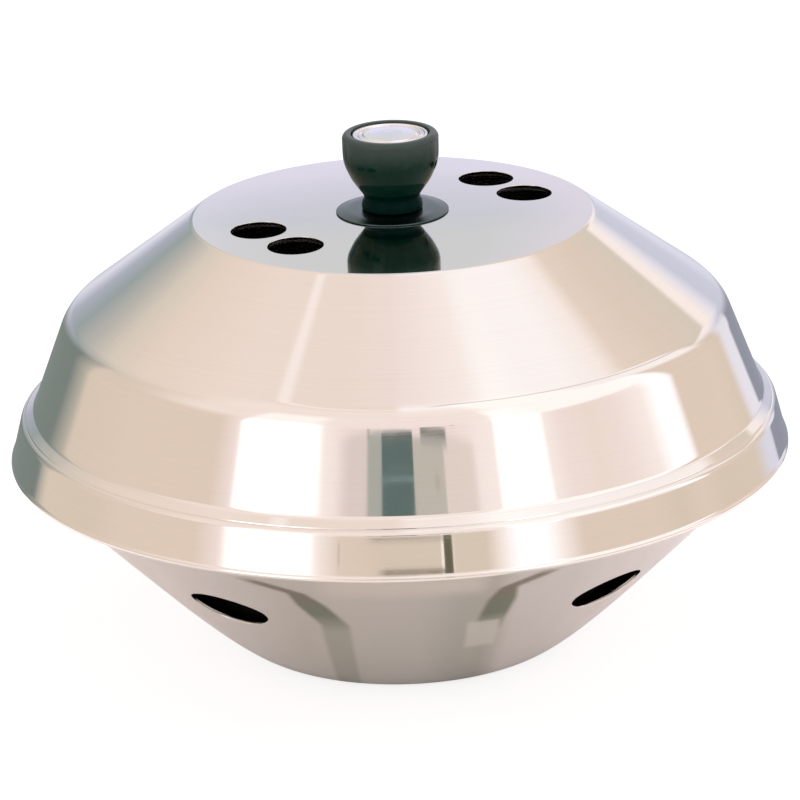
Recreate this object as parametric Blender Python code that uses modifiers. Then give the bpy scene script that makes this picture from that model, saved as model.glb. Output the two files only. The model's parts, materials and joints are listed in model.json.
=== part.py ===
"""A marine kettle charcoal grill, modelled as the separate pieces it is made of.

Metres, +Z up.  The origin is the centre of the flat underside of the bowl, -Y is the front,
+Y is the hinge side.  Every driving dimension is in millimetres in the block below.
"""

import math

import bmesh
import bpy
from mathutils import Matrix, Vector

MM = 0.001

# ---------------------------------------------------------------- driving dimensions (mm)
SHEET = 1.0                 # stainless sheet of the lid, bowl and liner
GAP = 0.35                  # clearance between pieces that touch

# lid, outside of the sheet
LID_TOP_CENTRE_Z = 208.9    # the top is very slightly domed
LID_TOP_R, LID_TOP_Z = 94.3, 207.6
LID_SHOULDER_R, LID_SHOULDER_Z = 155.9, 161.8
LID_STEP_R, LID_STEP_Z = 171.4, 121.0
LID_LEDGE_R, LID_LEDGE_Z = 178.1, 115.3
LID_SKIRT_R, LID_SKIRT_Z = 182.7, 97.6
RIM_R = 184.0               # half of the 368 mm (14.5 in) rim
RIM_BOTTOM_Z = 92.9

# lid vents and the damper under them
VENT_R, VENT_PITCH_R = 13.0, 66.5
VENT_ANGLES = (17.0, 44.0, 197.0, 224.0)
DAMPER_R = 85.0
DAMPER_TRAVEL = 56.0        # degrees; the vents are then covered
STOP_R, STOP_ANGLE = 36.0, 88.0

# bowl, outside of the sheet
BOWL_CONE_R0, BOWL_CONE_Z0, BOWL_CONE_SLOPE = 123.8, 42.2, 0.993   # r = R0 + (z - Z0) * slope
BOWL_BASE_R = 72.6
BOWL_NECK_R = 173.6
BOWL_ROLL_Z, BOWL_ROLL_R = 112.5, 1.3
BOWL_VENT_AZ = (-40.0, 40.0, 140.0, -140.0)   # degrees from the front
BOWL_VENT_Z, BOWL_VENT_A, BOWL_VENT_B = 54.0, 20.4, 12.9

# liner
LINER_OFFSET = 12.0
LINER_BOTTOM_Z, LINER_BOTTOM_R = 14.0, 60.0
LINER_HOLE_R, LINER_HOLE_Z = 6.0, 33.0

# hinge
PIVOT_Y, PIVOT_Z = 195.0, 104.0
PIN_R = 2.5
KNUCKLE_R = 6.0
STRAP_HALF = 7.0
EAR_IN, EAR_OUT = 8.0, 10.5

# mounting screws' nuts under the liner
MOUNT_BOLT_R = 32.0
MOUNT_ANGLES = (90.0, 210.0, 330.0)
MOUNT_HOLE_R = 3.35

# knob
KNOB_TOP_Z = 247.0
SHIELD_R = 26.4

STEPS = 40

# ---------------------------------------------------------------- clearing the scene
for _o in list(bpy.data.objects):
    bpy.data.objects.remove(_o, do_unlink=True)

parts = bpy.data.collections.new("charcoal_grill")
cutters = bpy.data.collections.new("cutters")
bpy.context.scene.collection.children.link(parts)
bpy.context.scene.collection.children.link(cutters)


# ---------------------------------------------------------------- materials
def material(name, colour, roughness, metallic):
    m = bpy.data.materials.new(name)
    m.use_nodes = True
    shader = m.node_tree.nodes["Principled BSDF"]
    shader.inputs["Base Color"].default_value = (*colour, 1.0)
    shader.inputs["Roughness"].default_value = roughness
    shader.inputs["Metallic"].default_value = metallic
    m.diffuse_color = (*colour, 1.0)
    return m


POLISHED = material("polished_stainless", (0.78, 0.75, 0.72), 0.08, 1.0)
LINER = material("satin_stainless", (0.55, 0.54, 0.52), 0.35, 1.0)
BRACKET = material("bracket_stainless", (0.60, 0.60, 0.60), 0.25, 1.0)
WIRE = material("grate_wire", (0.62, 0.62, 0.62), 0.22, 1.0)
CAST = material("charcoal_grate_wire", (0.30, 0.29, 0.28), 0.5, 1.0)
PHENOLIC = material("phenolic_black", (0.012, 0.020, 0.017), 0.12, 0.0)
MEDAL = material("medallion_metal", (0.75, 0.75, 0.76), 0.15, 1.0)
FASTENER = material("fastener_steel", (0.65, 0.65, 0.65), 0.25, 1.0)
SHIELD = material("heat_shield_steel", (0.42, 0.44, 0.46), 0.2, 1.0)


# ---------------------------------------------------------------- helpers
def link(obj, mat=None, where=parts):
    for c in list(obj.users_collection):
        c.objects.unlink(obj)
    where.objects.link(obj)
    if mat is not None:
        obj.data.materials.clear()
        obj.data.materials.append(mat)
    return obj


def as_cutter(obj):
    link(obj, None, cutters)
    obj.hide_render = True
    obj.display_type = "WIRE"
    return obj


def profile_mesh(name, points, closed):
    """A mesh of edges in the XZ plane, from (radius, height) points in millimetres."""
    mesh = bpy.data.meshes.new(name)
    bm = bmesh.new()
    verts = [bm.verts.new((r * MM, 0.0, z * MM)) for r, z in points]
    for a, b in zip(verts, verts[1:]):
        bm.edges.new((a, b))
    if closed:
        bm.edges.new((verts[-1], verts[0]))
    bm.to_mesh(mesh)
    bm.free()
    return mesh


def turned(name, points, mat, steps=STEPS, thickness=None, cutter=False):
    """A profile turned about Z.  With a thickness it is a sheet whose outside is the profile."""
    obj = bpy.data.objects.new(name, profile_mesh(name, points, closed=thickness is None))
    link(obj, mat)
    screw = obj.modifiers.new("turn", "SCREW")
    screw.axis = "Z"
    screw.angle = 2 * math.pi
    screw.steps = steps
    screw.render_steps = steps
    screw.use_merge_vertices = True
    screw.merge_threshold = 0.00001
    screw.use_smooth_shade = True
    if thickness is not None:
        solid = obj.modifiers.new("sheet", "SOLIDIFY")
        solid.thickness = thickness * MM
        solid.offset = -1.0
        solid.use_even_offset = True
    if cutter:
        as_cutter(obj)
    return obj


def rounded(points, seg_deg=34.0):
    """(r, z, fillet radius) corners to a polyline whose corners are arcs."""
    out = []
    n = len(points)
    for i, (r, z, rad) in enumerate(points):
        if i in (0, n - 1) or rad <= 0:
            out.append((r, z))
            continue
        p = Vector((r, z))
        a = (Vector(points[i - 1][:2]) - p).normalized()
        b = (Vector(points[i + 1][:2]) - p).normalized()
        half = a.angle(b) / 2
        cut = rad / math.tan(half)
        start, end = p + a * cut, p + b * cut
        centre = p + (a + b).normalized() * (rad / math.sin(half))
        turn = math.pi - 2 * half
        steps = max(1, round(math.degrees(turn) / seg_deg))
        u, v = start - centre, end - centre
        side = 1.0 if u.x * v.y - u.y * v.x > 0 else -1.0
        for k in range(steps + 1):
            ang = side * turn * k / steps
            c, s = math.cos(ang), math.sin(ang)
            out.append((centre.x + u.x * c - u.y * s, centre.y + u.x * s + u.y * c))
    return out


def bezier(p0, p1, p2, n):
    """Points of a quadratic curve, without its first."""
    out = []
    for k in range(1, n + 1):
        t = k / n
        out.append(
            (
                (1 - t) ** 2 * p0[0] + 2 * t * (1 - t) * p1[0] + t * t * p2[0],
                (1 - t) ** 2 * p0[1] + 2 * t * (1 - t) * p1[1] + t * t * p2[1],
            )
        )
    return out


def cut(target, tool, operation="DIFFERENCE"):
    m = target.modifiers.new("cut", "BOOLEAN")
    m.object = tool
    m.operation = operation
    m.solver = "EXACT"
    return m


def cylinder(name, radius, length, matrix, segments=24, mat=None, squash=None, cutter=False):
    """A cylinder along its local Z, centred, with the matrix's rotation and place in millimetres."""
    mesh = bpy.data.meshes.new(name)
    bm = bmesh.new()
    bmesh.ops.create_cone(
        bm, cap_ends=True, segments=segments, radius1=radius * MM, radius2=radius * MM, depth=length * MM
    )
    if squash is not None:
        bmesh.ops.scale(bm, vec=squash, verts=bm.verts)
    bm.to_mesh(mesh)
    bm.free()
    obj = bpy.data.objects.new(name, mesh)
    link(obj, mat)
    obj.matrix_world = matrix
    if cutter:
        as_cutter(obj)
    return obj


def box(name, size, centre, mat=None, cutter=False):
    mesh = bpy.data.meshes.new(name)
    bm = bmesh.new()
    bmesh.ops.create_cube(bm, size=1.0)
    bmesh.ops.scale(bm, vec=[s * MM for s in size], verts=bm.verts)
    bm.to_mesh(mesh)
    bm.free()
    obj = bpy.data.objects.new(name, mesh)
    link(obj, mat)
    obj.location = [c * MM for c in centre]
    if cutter:
        as_cutter(obj)
    return obj


def frame(origin, z_axis, x_hint=(0, 0, 1)):
    """A matrix whose local Z is z_axis and whose local X is as near x_hint as it can be; origin in mm."""
    z = Vector(z_axis).normalized()
    x = Vector(x_hint) - z * Vector(x_hint).dot(z)
    x.normalize()
    y = z.cross(x)
    m = Matrix((x, y, z)).transposed().to_4x4()
    m.translation = Vector(origin) * MM
    return m


def freeze(obj, name=None):
    """The evaluated shape of an object as a new plain mesh object; the old one goes."""
    bpy.context.view_layer.update()
    graph = bpy.context.evaluated_depsgraph_get()
    mesh = bpy.data.meshes.new_from_object(obj.evaluated_get(graph))
    bm = bmesh.new()
    bm.from_mesh(mesh)
    bmesh.ops.remove_doubles(bm, verts=bm.verts, dist=0.000002)
    bm.to_mesh(mesh)
    bm.free()
    new = bpy.data.objects.new(name or obj.name, mesh)
    keep = obj.name
    mats = [s.material for s in obj.material_slots]
    matrix = obj.matrix_world.copy()
    cols = list(obj.users_collection)
    hidden = obj.hide_render
    bpy.data.objects.remove(obj, do_unlink=True)
    new.name = name or keep
    for c in cols:
        c.objects.link(new)
    new.matrix_world = matrix
    mesh.materials.clear()
    for m in mats:
        mesh.materials.append(m)
    new.hide_render = hidden
    return new


YZ_PLANE = Matrix(((0, 0, 1, 0), (1, 0, 0, 0), (0, 1, 0, 0), (0, 0, 0, 1)))


def plate_yz(name, outline, x0, x1, mat, holes=()):
    """A flat outline in the YZ plane, from x0 to x1, with round holes (y, z, radius)."""
    data = bpy.data.curves.new(name, "CURVE")
    data.dimensions = "2D"
    data.fill_mode = "BOTH"
    data.extrude = abs(x1 - x0) / 2 * MM
    data.resolution_u = 2
    loops = [outline]
    for y, z, r in holes:
        loops.append([(y + r * math.cos(t), z + r * math.sin(t)) for t in [2 * math.pi * k / 20 for k in range(20)]])
    for loop in loops:
        s = data.splines.new("POLY")
        s.points.add(len(loop) - 1)
        for p, (y, z) in zip(s.points, loop):
            p.co = (y * MM, z * MM, 0, 1)
        s.use_cyclic_u = True
    obj = bpy.data.objects.new(name, data)
    link(obj, mat)
    place = YZ_PLANE.copy()
    place.translation = Vector(((x0 + x1) / 2 * MM, 0, 0))
    obj.matrix_world = place
    return freeze(obj)


def wire(name, points, radius, mat, cyclic=False, sides=2):
    data = bpy.data.curves.new(name, "CURVE")
    data.dimensions = "3D"
    data.bevel_depth = radius * MM
    data.bevel_resolution = sides
    data.use_fill_caps = not cyclic
    s = data.splines.new("POLY")
    s.points.add(len(points) - 1)
    for p, co in zip(s.points, points):
        p.co = (co[0] * MM, co[1] * MM, co[2] * MM, 1)
    s.use_cyclic_u = cyclic
    obj = bpy.data.objects.new(name, data)
    link(obj, mat)
    return freeze(obj)


def polar(r, deg, z):
    a = math.radians(deg)
    return (r * math.cos(a), r * math.sin(a), z)


def smooth(obj, angle=35):
    if obj.type == "MESH":
        obj.data.shade_smooth()
        obj.data.set_sharp_from_angle(angle=math.radians(angle))
    return obj


def cone_r(z):
    return BOWL_CONE_R0 + (z - BOWL_CONE_Z0) * BOWL_CONE_SLOPE


def dome(r):
    """Height of the lid's outer top at a radius, relative to the axis: flat, then falling away at its edge."""
    return -(LID_TOP_CENTRE_Z - LID_TOP_Z) * (r / LID_TOP_R) ** 3


# ================================================================ bowl
neck_foot_z = BOWL_CONE_Z0 + (BOWL_NECK_R - BOWL_CONE_R0) / BOWL_CONE_SLOPE
roll = [
    (
        BOWL_NECK_R + BOWL_ROLL_R + BOWL_ROLL_R * math.cos(math.radians(a)),
        BOWL_ROLL_Z + BOWL_ROLL_R * math.sin(math.radians(a)),
    )
    for a in range(-60, 181, 80)
]
bowl_cone_foot = (BOWL_CONE_R0, BOWL_CONE_Z0)
bowl_corner = (BOWL_CONE_R0 - BOWL_CONE_Z0 * BOWL_CONE_SLOPE, 0.0)
bowl_path = (
    roll
    + rounded([(BOWL_NECK_R, BOWL_ROLL_Z, 0), (BOWL_NECK_R, neck_foot_z, 5.0), (*bowl_cone_foot, 0)])[1:]
    + bezier(bowl_cone_foot, bowl_corner, (BOWL_BASE_R, 0.0), 4)
    + [(0.0, 0.0)]
)
bowl_shell = turned("bowl_shell", bowl_path, POLISHED, thickness=SHEET)


def cone_normal(az):
    """Outward normal of the bowl's cone at an azimuth from the front, in degrees."""
    a = math.radians(az)
    h = 1 / math.hypot(1, BOWL_CONE_SLOPE)
    return Vector((math.sin(a) * h, -math.cos(a) * h, -BOWL_CONE_SLOPE * h))


def on_cone(az, z, r_shift=0.0):
    a = math.radians(az)
    r = cone_r(z) + r_shift
    return Vector((r * math.sin(a), -r * math.cos(a), z))


for i, az in enumerate(BOWL_VENT_AZ):
    n = cone_normal(az)
    a = math.radians(az)
    tangent = (math.cos(a), math.sin(a), 0)
    tool = cylinder(
        f"cut_bowl_vent_{i}",
        1.0,
        24.0,
        frame(on_cone(az, BOWL_VENT_Z), n, tangent),
        segments=20,
        squash=(BOWL_VENT_A, BOWL_VENT_B, 1.0),
        cutter=True,
    )
    cut(bowl_shell, tool)

# ================================================================ liner (fire bowl)
liner_r0 = BOWL_CONE_R0 - LINER_OFFSET
liner_foot = (liner_r0 - (BOWL_CONE_Z0 - 38.0) * BOWL_CONE_SLOPE, 38.0)
liner_corner = (liner_r0 - (BOWL_CONE_Z0 - LINER_BOTTOM_Z) * BOWL_CONE_SLOPE, LINER_BOTTOM_Z)
liner_shoulder = (liner_r0 + (86.5 - BOWL_CONE_Z0) * BOWL_CONE_SLOPE, 86.5)
liner_path = (
    rounded(
        [(169.4, 90.2, 0), (167.6, 91.8, 1.2), (160.5, 91.8, 3.0), (*liner_shoulder, 3.0), (*liner_foot, 0)],
        seg_deg=50,
    )
    + bezier(liner_foot, liner_corner, (LINER_BOTTOM_R, LINER_BOTTOM_Z), 3)
    + [(0.0, LINER_BOTTOM_Z)]
)
fire_bowl = turned("fire_bowl", liner_path, LINER, steps=36, thickness=SHEET)
for i in range(8):
    az = 22.5 + 45 * i
    r = liner_r0 + (LINER_HOLE_Z - BOWL_CONE_Z0) * BOWL_CONE_SLOPE
    a = math.radians(az)
    tool = cylinder(
        f"cut_liner_hole_{i}",
        LINER_HOLE_R,
        18.0,
        frame((r * math.sin(a), -r * math.cos(a), LINER_HOLE_Z), cone_normal(az), (math.cos(a), math.sin(a), 0)),
        segments=12,
        cutter=True,
    )
    cut(fire_bowl, tool)

# ================================================================ base plate and mounting nuts
base_plate = turned("base_plate", [(48.0, 3.35), (48.0, 1.35), (0.0, 1.35), (0.0, 3.35)], BRACKET, steps=32)
for i, ang in enumerate(MOUNT_ANGLES, 1):
    x, y, _ = polar(MOUNT_BOLT_R, ang, 0)
    bolt = cylinder(f"cut_mount_{i}", MOUNT_HOLE_R, 24.0, Matrix.Translation((x * MM, y * MM, 0)), 14, cutter=True)
    cut(bowl_shell, bolt)
    cut(base_plate, bolt)
    nut = cylinder(f"mount_nut_{i}", 5.77, 5.0, Matrix.Translation((x * MM, y * MM, 6.2 * MM)), 6, mat=FASTENER)
    cut(nut, bolt)

# ================================================================ grate supports
SUPPORT_AZ = (-90.0, 30.0, 150.0)
SUPPORT_RIVET_Z = 106.0


def rivet(name, matrix, grip_in, grip_out, head_r=3.4, shank_r=1.7, tail_r=2.9):
    """A set rivet along its local Z: a domed head above grip_out and a flat tail below grip_in."""
    prof = [
        (0.0, grip_out + 1.7),
        (head_r * 0.7, grip_out + 1.25),
        (head_r, grip_out),
        (shank_r, grip_out),
        (shank_r, grip_in),
        (tail_r, grip_in),
        (tail_r, grip_in - 1.1),
        (0.0, grip_in - 1.1),
    ]
    obj = turned(name, prof, FASTENER, steps=12)
    obj.matrix_world = matrix
    return obj


for i, az in enumerate(SUPPORT_AZ, 1):
    a = math.radians(az)
    out = Vector((math.cos(a), math.sin(a), 0))
    # an L of 2 mm strip: the upright against the neck and the shelf that the cooking grate rests on
    leg = [
        (158.0, 97.0), (171.7, 97.0), (171.7, 110.5), (169.7, 110.5), (169.7, 99.0), (158.0, 99.0),
    ]
    data = plate_yz(f"grate_support_{i}", leg, -8.0, 8.0, BRACKET)
    data.matrix_world = Matrix.Rotation(a - math.pi / 2, 4, "Z") @ data.matrix_world
    at = frame(out * 171.7 + Vector((0, 0, SUPPORT_RIVET_Z)), out, (0, 0, 1))
    rivet(f"support_rivet_{i}", at, -2.0 - GAP, 1.9 + GAP)
    hole = cylinder(f"cut_support_{i}", 2.05, 16.0, at, segments=14, cutter=True)
    cut(data, hole)
    cut(bowl_shell, hole)

# ================================================================ cooking grate and charcoal grate
def grate(name, ring_r, ring_wire, z, bars, bar_pitch, bar_wire, mat, ring_steps, cross):
    """A round ring with bars welded on its top and cross wires welded under the bars."""
    ring = wire(
        name,
        [polar(ring_r, 360 * k / ring_steps, z) for k in range(ring_steps)],
        ring_wire,
        mat,
        cyclic=True,
        sides=2,
    )
    top = z + ring_wire + bar_wire - 0.9
    group = bpy.data.collections.new(name + "_bars")
    cutters.children.link(group)

    def piece(tag, points, radius):
        tool = wire(f"{name}_{tag}", points, radius, mat, sides=1)
        for c in list(tool.users_collection):
            c.objects.unlink(tool)
        group.objects.link(tool)
        tool.hide_render = True
        tool.display_type = "WIRE"

    for i in range(bars):
        x = (i - (bars - 1) / 2) * bar_pitch
        y = math.sqrt(ring_r**2 - x * x) + ring_wire * 0.2
        piece(f"bar_{i}", [(x, -y, top), (x, y, top)], bar_wire)
    for i, y in enumerate(cross):
        x = math.sqrt(ring_r**2 - y * y)
        piece(f"cross_{i}", [(-x, y, z + 0.35), (x, y, z + 0.35)], ring_wire * 0.86)
    m = ring.modifiers.new("weld", "BOOLEAN")
    m.operand_type = "COLLECTION"
    m.collection = group
    m.operation = "UNION"
    m.solver = "EXACT"
    m.use_self = False
    return ring


cooking_grate = grate("cooking_grate", 163.5, 2.5, 102.0, 19, 16.8, 1.9, WIRE, 40, (-75.0, 75.0))
charcoal_grate = grate("charcoal_grate", 114.0, 2.5, 50.0, 11, 19.0, 2.2, CAST, 32, (-45.0, 45.0))

# ================================================================ hinge
pivot = (PIVOT_Y, PIVOT_Z)


def knuckle_arc(a0, a1, n=7):
    return [
        (
            PIVOT_Y + KNUCKLE_R * math.cos(math.radians(a0 + (a1 - a0) * k / n)),
            PIVOT_Z + KNUCKLE_R * math.sin(math.radians(a0 + (a1 - a0) * k / n)),
        )
        for k in range(n + 1)
    ]


# the lid's strap follows the steep cone, steps out over the ledge and ends in the middle knuckle
cone2 = Vector((LID_STEP_R - LID_SHOULDER_R, LID_STEP_Z - LID_SHOULDER_Z)).normalized()
cone2_out = Vector((-cone2.y, cone2.x))


def on_cone2(z, off):
    t = (z - LID_SHOULDER_Z) / (LID_STEP_Z - LID_SHOULDER_Z)
    p = Vector((LID_SHOULDER_R + (LID_STEP_R - LID_SHOULDER_R) * t, z)) + cone2_out * off
    return (p.x, p.y)


STRAP = 2.0
strap_in, strap_out = GAP, GAP + STRAP
strap_outline = (
    [on_cone2(152.0, strap_out), on_cone2(152.0, strap_in), on_cone2(124.5, strap_in)]
    + [(181.0, 117.6), (186.0, 109.5)]
    + knuckle_arc(185, 385, 9)
    + [(188.5, 113.5), (183.5, 119.4), on_cone2(126.5, strap_out)]
)
lid_hinge_bracket = plate_yz(
    "lid_hinge_bracket", strap_outline, -STRAP_HALF, STRAP_HALF, BRACKET, holes=[(*pivot, PIN_R + GAP)]
)

# the bowl's clevis: a plate on the cone and two ears that carry the pin
cone_dir = Vector((BOWL_CONE_SLOPE, 1.0)).normalized()
cone_out = Vector((cone_dir.y, -cone_dir.x))


def off_cone(z, off):
    p = Vector((cone_r(z), z)) + cone_out * off
    return (p.x, p.y)


ear_outline = (
    [off_cone(64.0, GAP), off_cone(86.5, GAP), (178.0, 89.0), (187.5, 90.5), (189.6, 99.0)]
    + knuckle_arc(170, -30, 9)
    + [(196.0, 90.0), (182.0, 78.0), off_cone(64.0, GAP + 2.2)]
)
ear_a = plate_yz("bowl_hinge_bracket", ear_outline, -EAR_OUT, -EAR_IN, BRACKET, holes=[(*pivot, PIN_R + GAP)])
ear_b = plate_yz("ear_b", ear_outline, EAR_IN, EAR_OUT, BRACKET, holes=[(*pivot, PIN_R + GAP)])
web = plate_yz(
    "web",
    [off_cone(64.6, GAP + 0.02), off_cone(86.0, GAP + 0.02), off_cone(86.0, GAP + 2.0), off_cone(64.6, GAP + 2.0)],
    -EAR_OUT + 0.8,
    EAR_OUT - 0.8,
    BRACKET,
)
for tool in (ear_b, web):
    as_cutter(tool)
    cut(ear_a, tool, "UNION")
bowl_hinge_bracket = freeze(ear_a, "bowl_hinge_bracket")

for tag, z in (("upper", 82.0), ("lower", 70.0)):
    p = off_cone(z, 0.0)
    at = frame((0, p[0], p[1]), (0, cone_out.x, cone_out.y), (1, 0, 0))
    rivet(f"bowl_hinge_rivet_{tag}", at, -SHEET - GAP, 2.0 + 2 * GAP)
    hole = cylinder(f"cut_bowl_hinge_{tag}", 2.05, 12.0, at, segments=14, cutter=True)
    cut(bowl_hinge_bracket, hole)
    cut(bowl_shell, hole)

lid_rivets = []
for tag, z in (("upper", 147.0), ("lower", 132.0)):
    p = on_cone2(z, 0.0)
    at = frame((0, p[0], p[1]), (0, cone2_out.x, cone2_out.y), (1, 0, 0))
    rivet(f"lid_hinge_rivet_{tag}", at, -SHEET - GAP, strap_out + GAP)
    hole = cylinder(f"cut_lid_hinge_{tag}", 2.05, 12.0, at, segments=14, cutter=True)
    cut(lid_hinge_bracket, hole)
    lid_rivets.append(hole)

# the pin lies along X: a head on the left, and a groove near the right end for its clip
x_along = frame((0, PIVOT_Y, PIVOT_Z), (1, 0, 0), (0, 0, 1))
pin = turned(
    "hinge_pin",
    [
        (0.0, 15.0), (PIN_R - 0.5, 15.0), (PIN_R, 14.5), (PIN_R, 13.0), (PIN_R - 0.7, 13.0), (PIN_R - 0.7, 11.6),
        (PIN_R, 11.6), (PIN_R, -EAR_OUT - GAP), (4.4, -EAR_OUT - GAP), (4.4, -EAR_OUT - GAP - 1.6),
        (3.4, -EAR_OUT - GAP - 2.2), (0.0, -EAR_OUT - GAP - 2.2),
    ],
    FASTENER,
    steps=14,
)
pin.matrix_world = x_along

clip_r_in, clip_r_out = PIN_R - 0.7 + GAP, 5.0
clip_outline = [
    (PIVOT_Y + clip_r_out * math.cos(math.radians(t)), PIVOT_Z + clip_r_out * math.sin(math.radians(t)))
    for t in range(-60, 241, 25)
] + [
    (PIVOT_Y + clip_r_in * math.cos(math.radians(t)), PIVOT_Z + clip_r_in * math.sin(math.radians(t)))
    for t in range(225, -46, -30)
]
hinge_pin_clip = plate_yz("hinge_pin_clip", clip_outline, 11.95, 12.65, FASTENER)

# ================================================================ lid shell
lid_path = rounded(
    [
        (5.6, LID_TOP_CENTRE_Z, 0),
        (42.0, LID_TOP_CENTRE_Z + dome(42.0), 0),
        (70.0, LID_TOP_CENTRE_Z + dome(70.0), 0),
        (LID_TOP_R, LID_TOP_Z, 5.0),
        (LID_SHOULDER_R, LID_SHOULDER_Z, 9.0),
        (LID_STEP_R, LID_STEP_Z, 3.2),
        (LID_LEDGE_R, LID_LEDGE_Z, 3.4),
        (LID_SKIRT_R, LID_SKIRT_Z, 0),
        (RIM_R, 96.2, 0),
        (RIM_R, 94.2, 0),
        (182.9, RIM_BOTTOM_Z, 0),
    ]
)
lid_shell = turned("lid_shell", lid_path, POLISHED, thickness=SHEET)
for hole in lid_rivets:
    cut(lid_shell, hole)
vent_tools = []
for i, ang in enumerate(VENT_ANGLES):
    x, y, _ = polar(VENT_PITCH_R, ang, 0)
    tool = cylinder(
        f"cut_lid_vent_{i}", VENT_R, 16.0, Matrix.Translation((x * MM, y * MM, 0.207)), segments=20, cutter=True
    )
    vent_tools.append(tool)
    cut(lid_shell, tool)

# ================================================================ damper, stop rivet and its spring stack
dtop = LID_TOP_CENTRE_Z - SHEET - 0.45      # top of the damper at the axis; it follows the lid's slight dome


damper_top = [(r, dtop + dome(r) - 0.15) for r in (3.0, 34.0, 60.0, DAMPER_R)]
damper_disc = turned("damper_disc", damper_top + [(r, z - SHEET) for r, z in reversed(damper_top)], LINER, steps=32)
cut(damper_disc, box("cut_damper_square", (7.7, 7.7, 20.0), (0, 0, dtop), cutter=True))
for i, ang in enumerate(VENT_ANGLES):
    x, y, _ = polar(VENT_PITCH_R, ang, 0)
    tool = cylinder(
        f"cut_damper_vent_{i}", VENT_R + 0.8, 12.0, Matrix.Translation((x * MM, y * MM, dtop * MM)), segments=18,
        cutter=True,
    )
    cut(damper_disc, tool)
slot_margin = math.degrees((1.7 + 0.6) / STOP_R)
slot = wire(
    "cut_damper_slot",
    [
        polar(STOP_R, STOP_ANGLE - DAMPER_TRAVEL - slot_margin + (DAMPER_TRAVEL + 2 * slot_margin) * k / 12, dtop - 0.7)
        for k in range(13)
    ],
    2.9,
    LINER,
    sides=2,
)
as_cutter(slot)
cut(damper_disc, slot)

sx, sy, _ = polar(STOP_R, STOP_ANGLE, 0)
stop_at = Matrix.Translation((sx * MM, sy * MM, (LID_TOP_CENTRE_Z + dome(STOP_R)) * MM))
# The stop is spun over flush outside the lid, and its shank hangs through the damper's slot.
stop_rivet = turned(
    "damper_stop_rivet",
    [
        (0.0, 1.5), (2.0, 1.3), (3.1, 0.75), (3.1, GAP + 0.1), (1.7, GAP + 0.1), (1.7, -3.9), (2.6, -3.9), (2.6, -4.9),
        (0.0, -4.9),
    ],
    FASTENER,
    steps=14,
)
stop_rivet.matrix_world = stop_at
cut(lid_shell, cylinder("cut_stop", 2.05, 8.0, stop_at, segments=14, cutter=True))

stud = turned(
    "knob_stud",
    [
        (0.0, 231.5), (2.8, 231.5), (3.4, 230.8), (3.4, 187.4), (2.8, 186.7), (0.0, 186.7),
    ],
    FASTENER,
    steps=14,
)
square = box("stud_square", (7.0, 7.0, 7.0), (0, 0, 207.0), cutter=True)
cut(stud, square, "UNION")

turned("damper_washer_upper", [(10.0, 206.0), (10.0, 205.0), (3.0, 205.0), (3.0, 206.0)], FASTENER, steps=24)
cut(bpy.data.objects["damper_washer_upper"], box("cut_washer", (7.7, 7.7, 6.0), (0, 0, 205.5), cutter=True))
turned("damper_washer_lower", [(10.0, 196.2), (10.0, 195.2), (3.75, 195.2), (3.75, 196.2)], FASTENER, steps=24)
turns, coil_r, coil_w = 3.5, 6.6, 0.75
coil_top, coil_bottom = 205.0 - GAP - coil_w, 196.2 + GAP + coil_w
coil_n = int(turns * 10)
spring_points = []
for k in range(coil_n + 1):
    t = k / coil_n
    spring_points.append(polar(coil_r, 360 * turns * t, coil_bottom + (coil_top - coil_bottom) * t))
wire("damper_spring", spring_points, coil_w, FASTENER, sides=1)
nut = cylinder("damper_nut", 7.5, 5.6, Matrix.Translation((0, 0, 191.9 * MM)), segments=6, mat=FASTENER)
cut(nut, cylinder("cut_damper_nut", 3.75, 20.0, Matrix.Translation((0, 0, 191.9 * MM)), segments=20, cutter=True))

# ================================================================ knob, shield and medallion
turned(
    "knob_heat_shield",
    [
        (3.0, 210.45), (SHIELD_R - 4, 210.45), (SHIELD_R - 0.6, 210.15), (SHIELD_R, 209.75), (SHIELD_R - 0.4, 209.3),
        (3.0, 209.3),
    ],
    SHIELD,
    steps=24,
)
cut(
    bpy.data.objects["knob_heat_shield"],
    box("cut_shield", (7.7, 7.7, 6.0), (0, 0, 210.0), cutter=True),
)
MEDAL_R, MEDAL_Z = 18.0, KNOB_TOP_Z - 1.2   # the disc's edge lies a little below the knob's rim
knob_profile = [
    (MEDAL_R + GAP, MEDAL_Z + 0.5), (19.0, KNOB_TOP_Z), (20.5, KNOB_TOP_Z), (21.9, KNOB_TOP_Z - 1.0),
    (22.5, KNOB_TOP_Z - 3.4), (22.4, 235.0), (21.2, 230.6), (18.5, 224.8), (15.0, 219.8), (13.1, 217.0),
    (13.2, 215.6), (14.2, 213.6), (14.2, 210.8),
    (3.75, 210.8), (3.75, 232.0), (0.0, 232.0), (0.0, MEDAL_Z - 2.0), (MEDAL_R + GAP, MEDAL_Z - 2.0),
]
turned("knob", knob_profile, PHENOLIC, steps=24)
turned(
    "knob_medallion",
    [
        (0.0, MEDAL_Z + 1.1), (8.0, MEDAL_Z + 0.85), (14.6, MEDAL_Z + 0.1), (15.6, MEDAL_Z + 0.2),
        (17.2, MEDAL_Z + 0.2), (MEDAL_R, MEDAL_Z - 0.5), (MEDAL_R, MEDAL_Z - 1.65), (0.0, MEDAL_Z - 1.65),
    ],
    MEDAL,
    steps=24,
)

for _o in parts.objects:
    smooth(_o)
bpy.context.view_layer.update()
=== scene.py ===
import json
import math

import bmesh
import bpy
import numpy as np
from mathutils import Matrix, Vector


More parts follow.
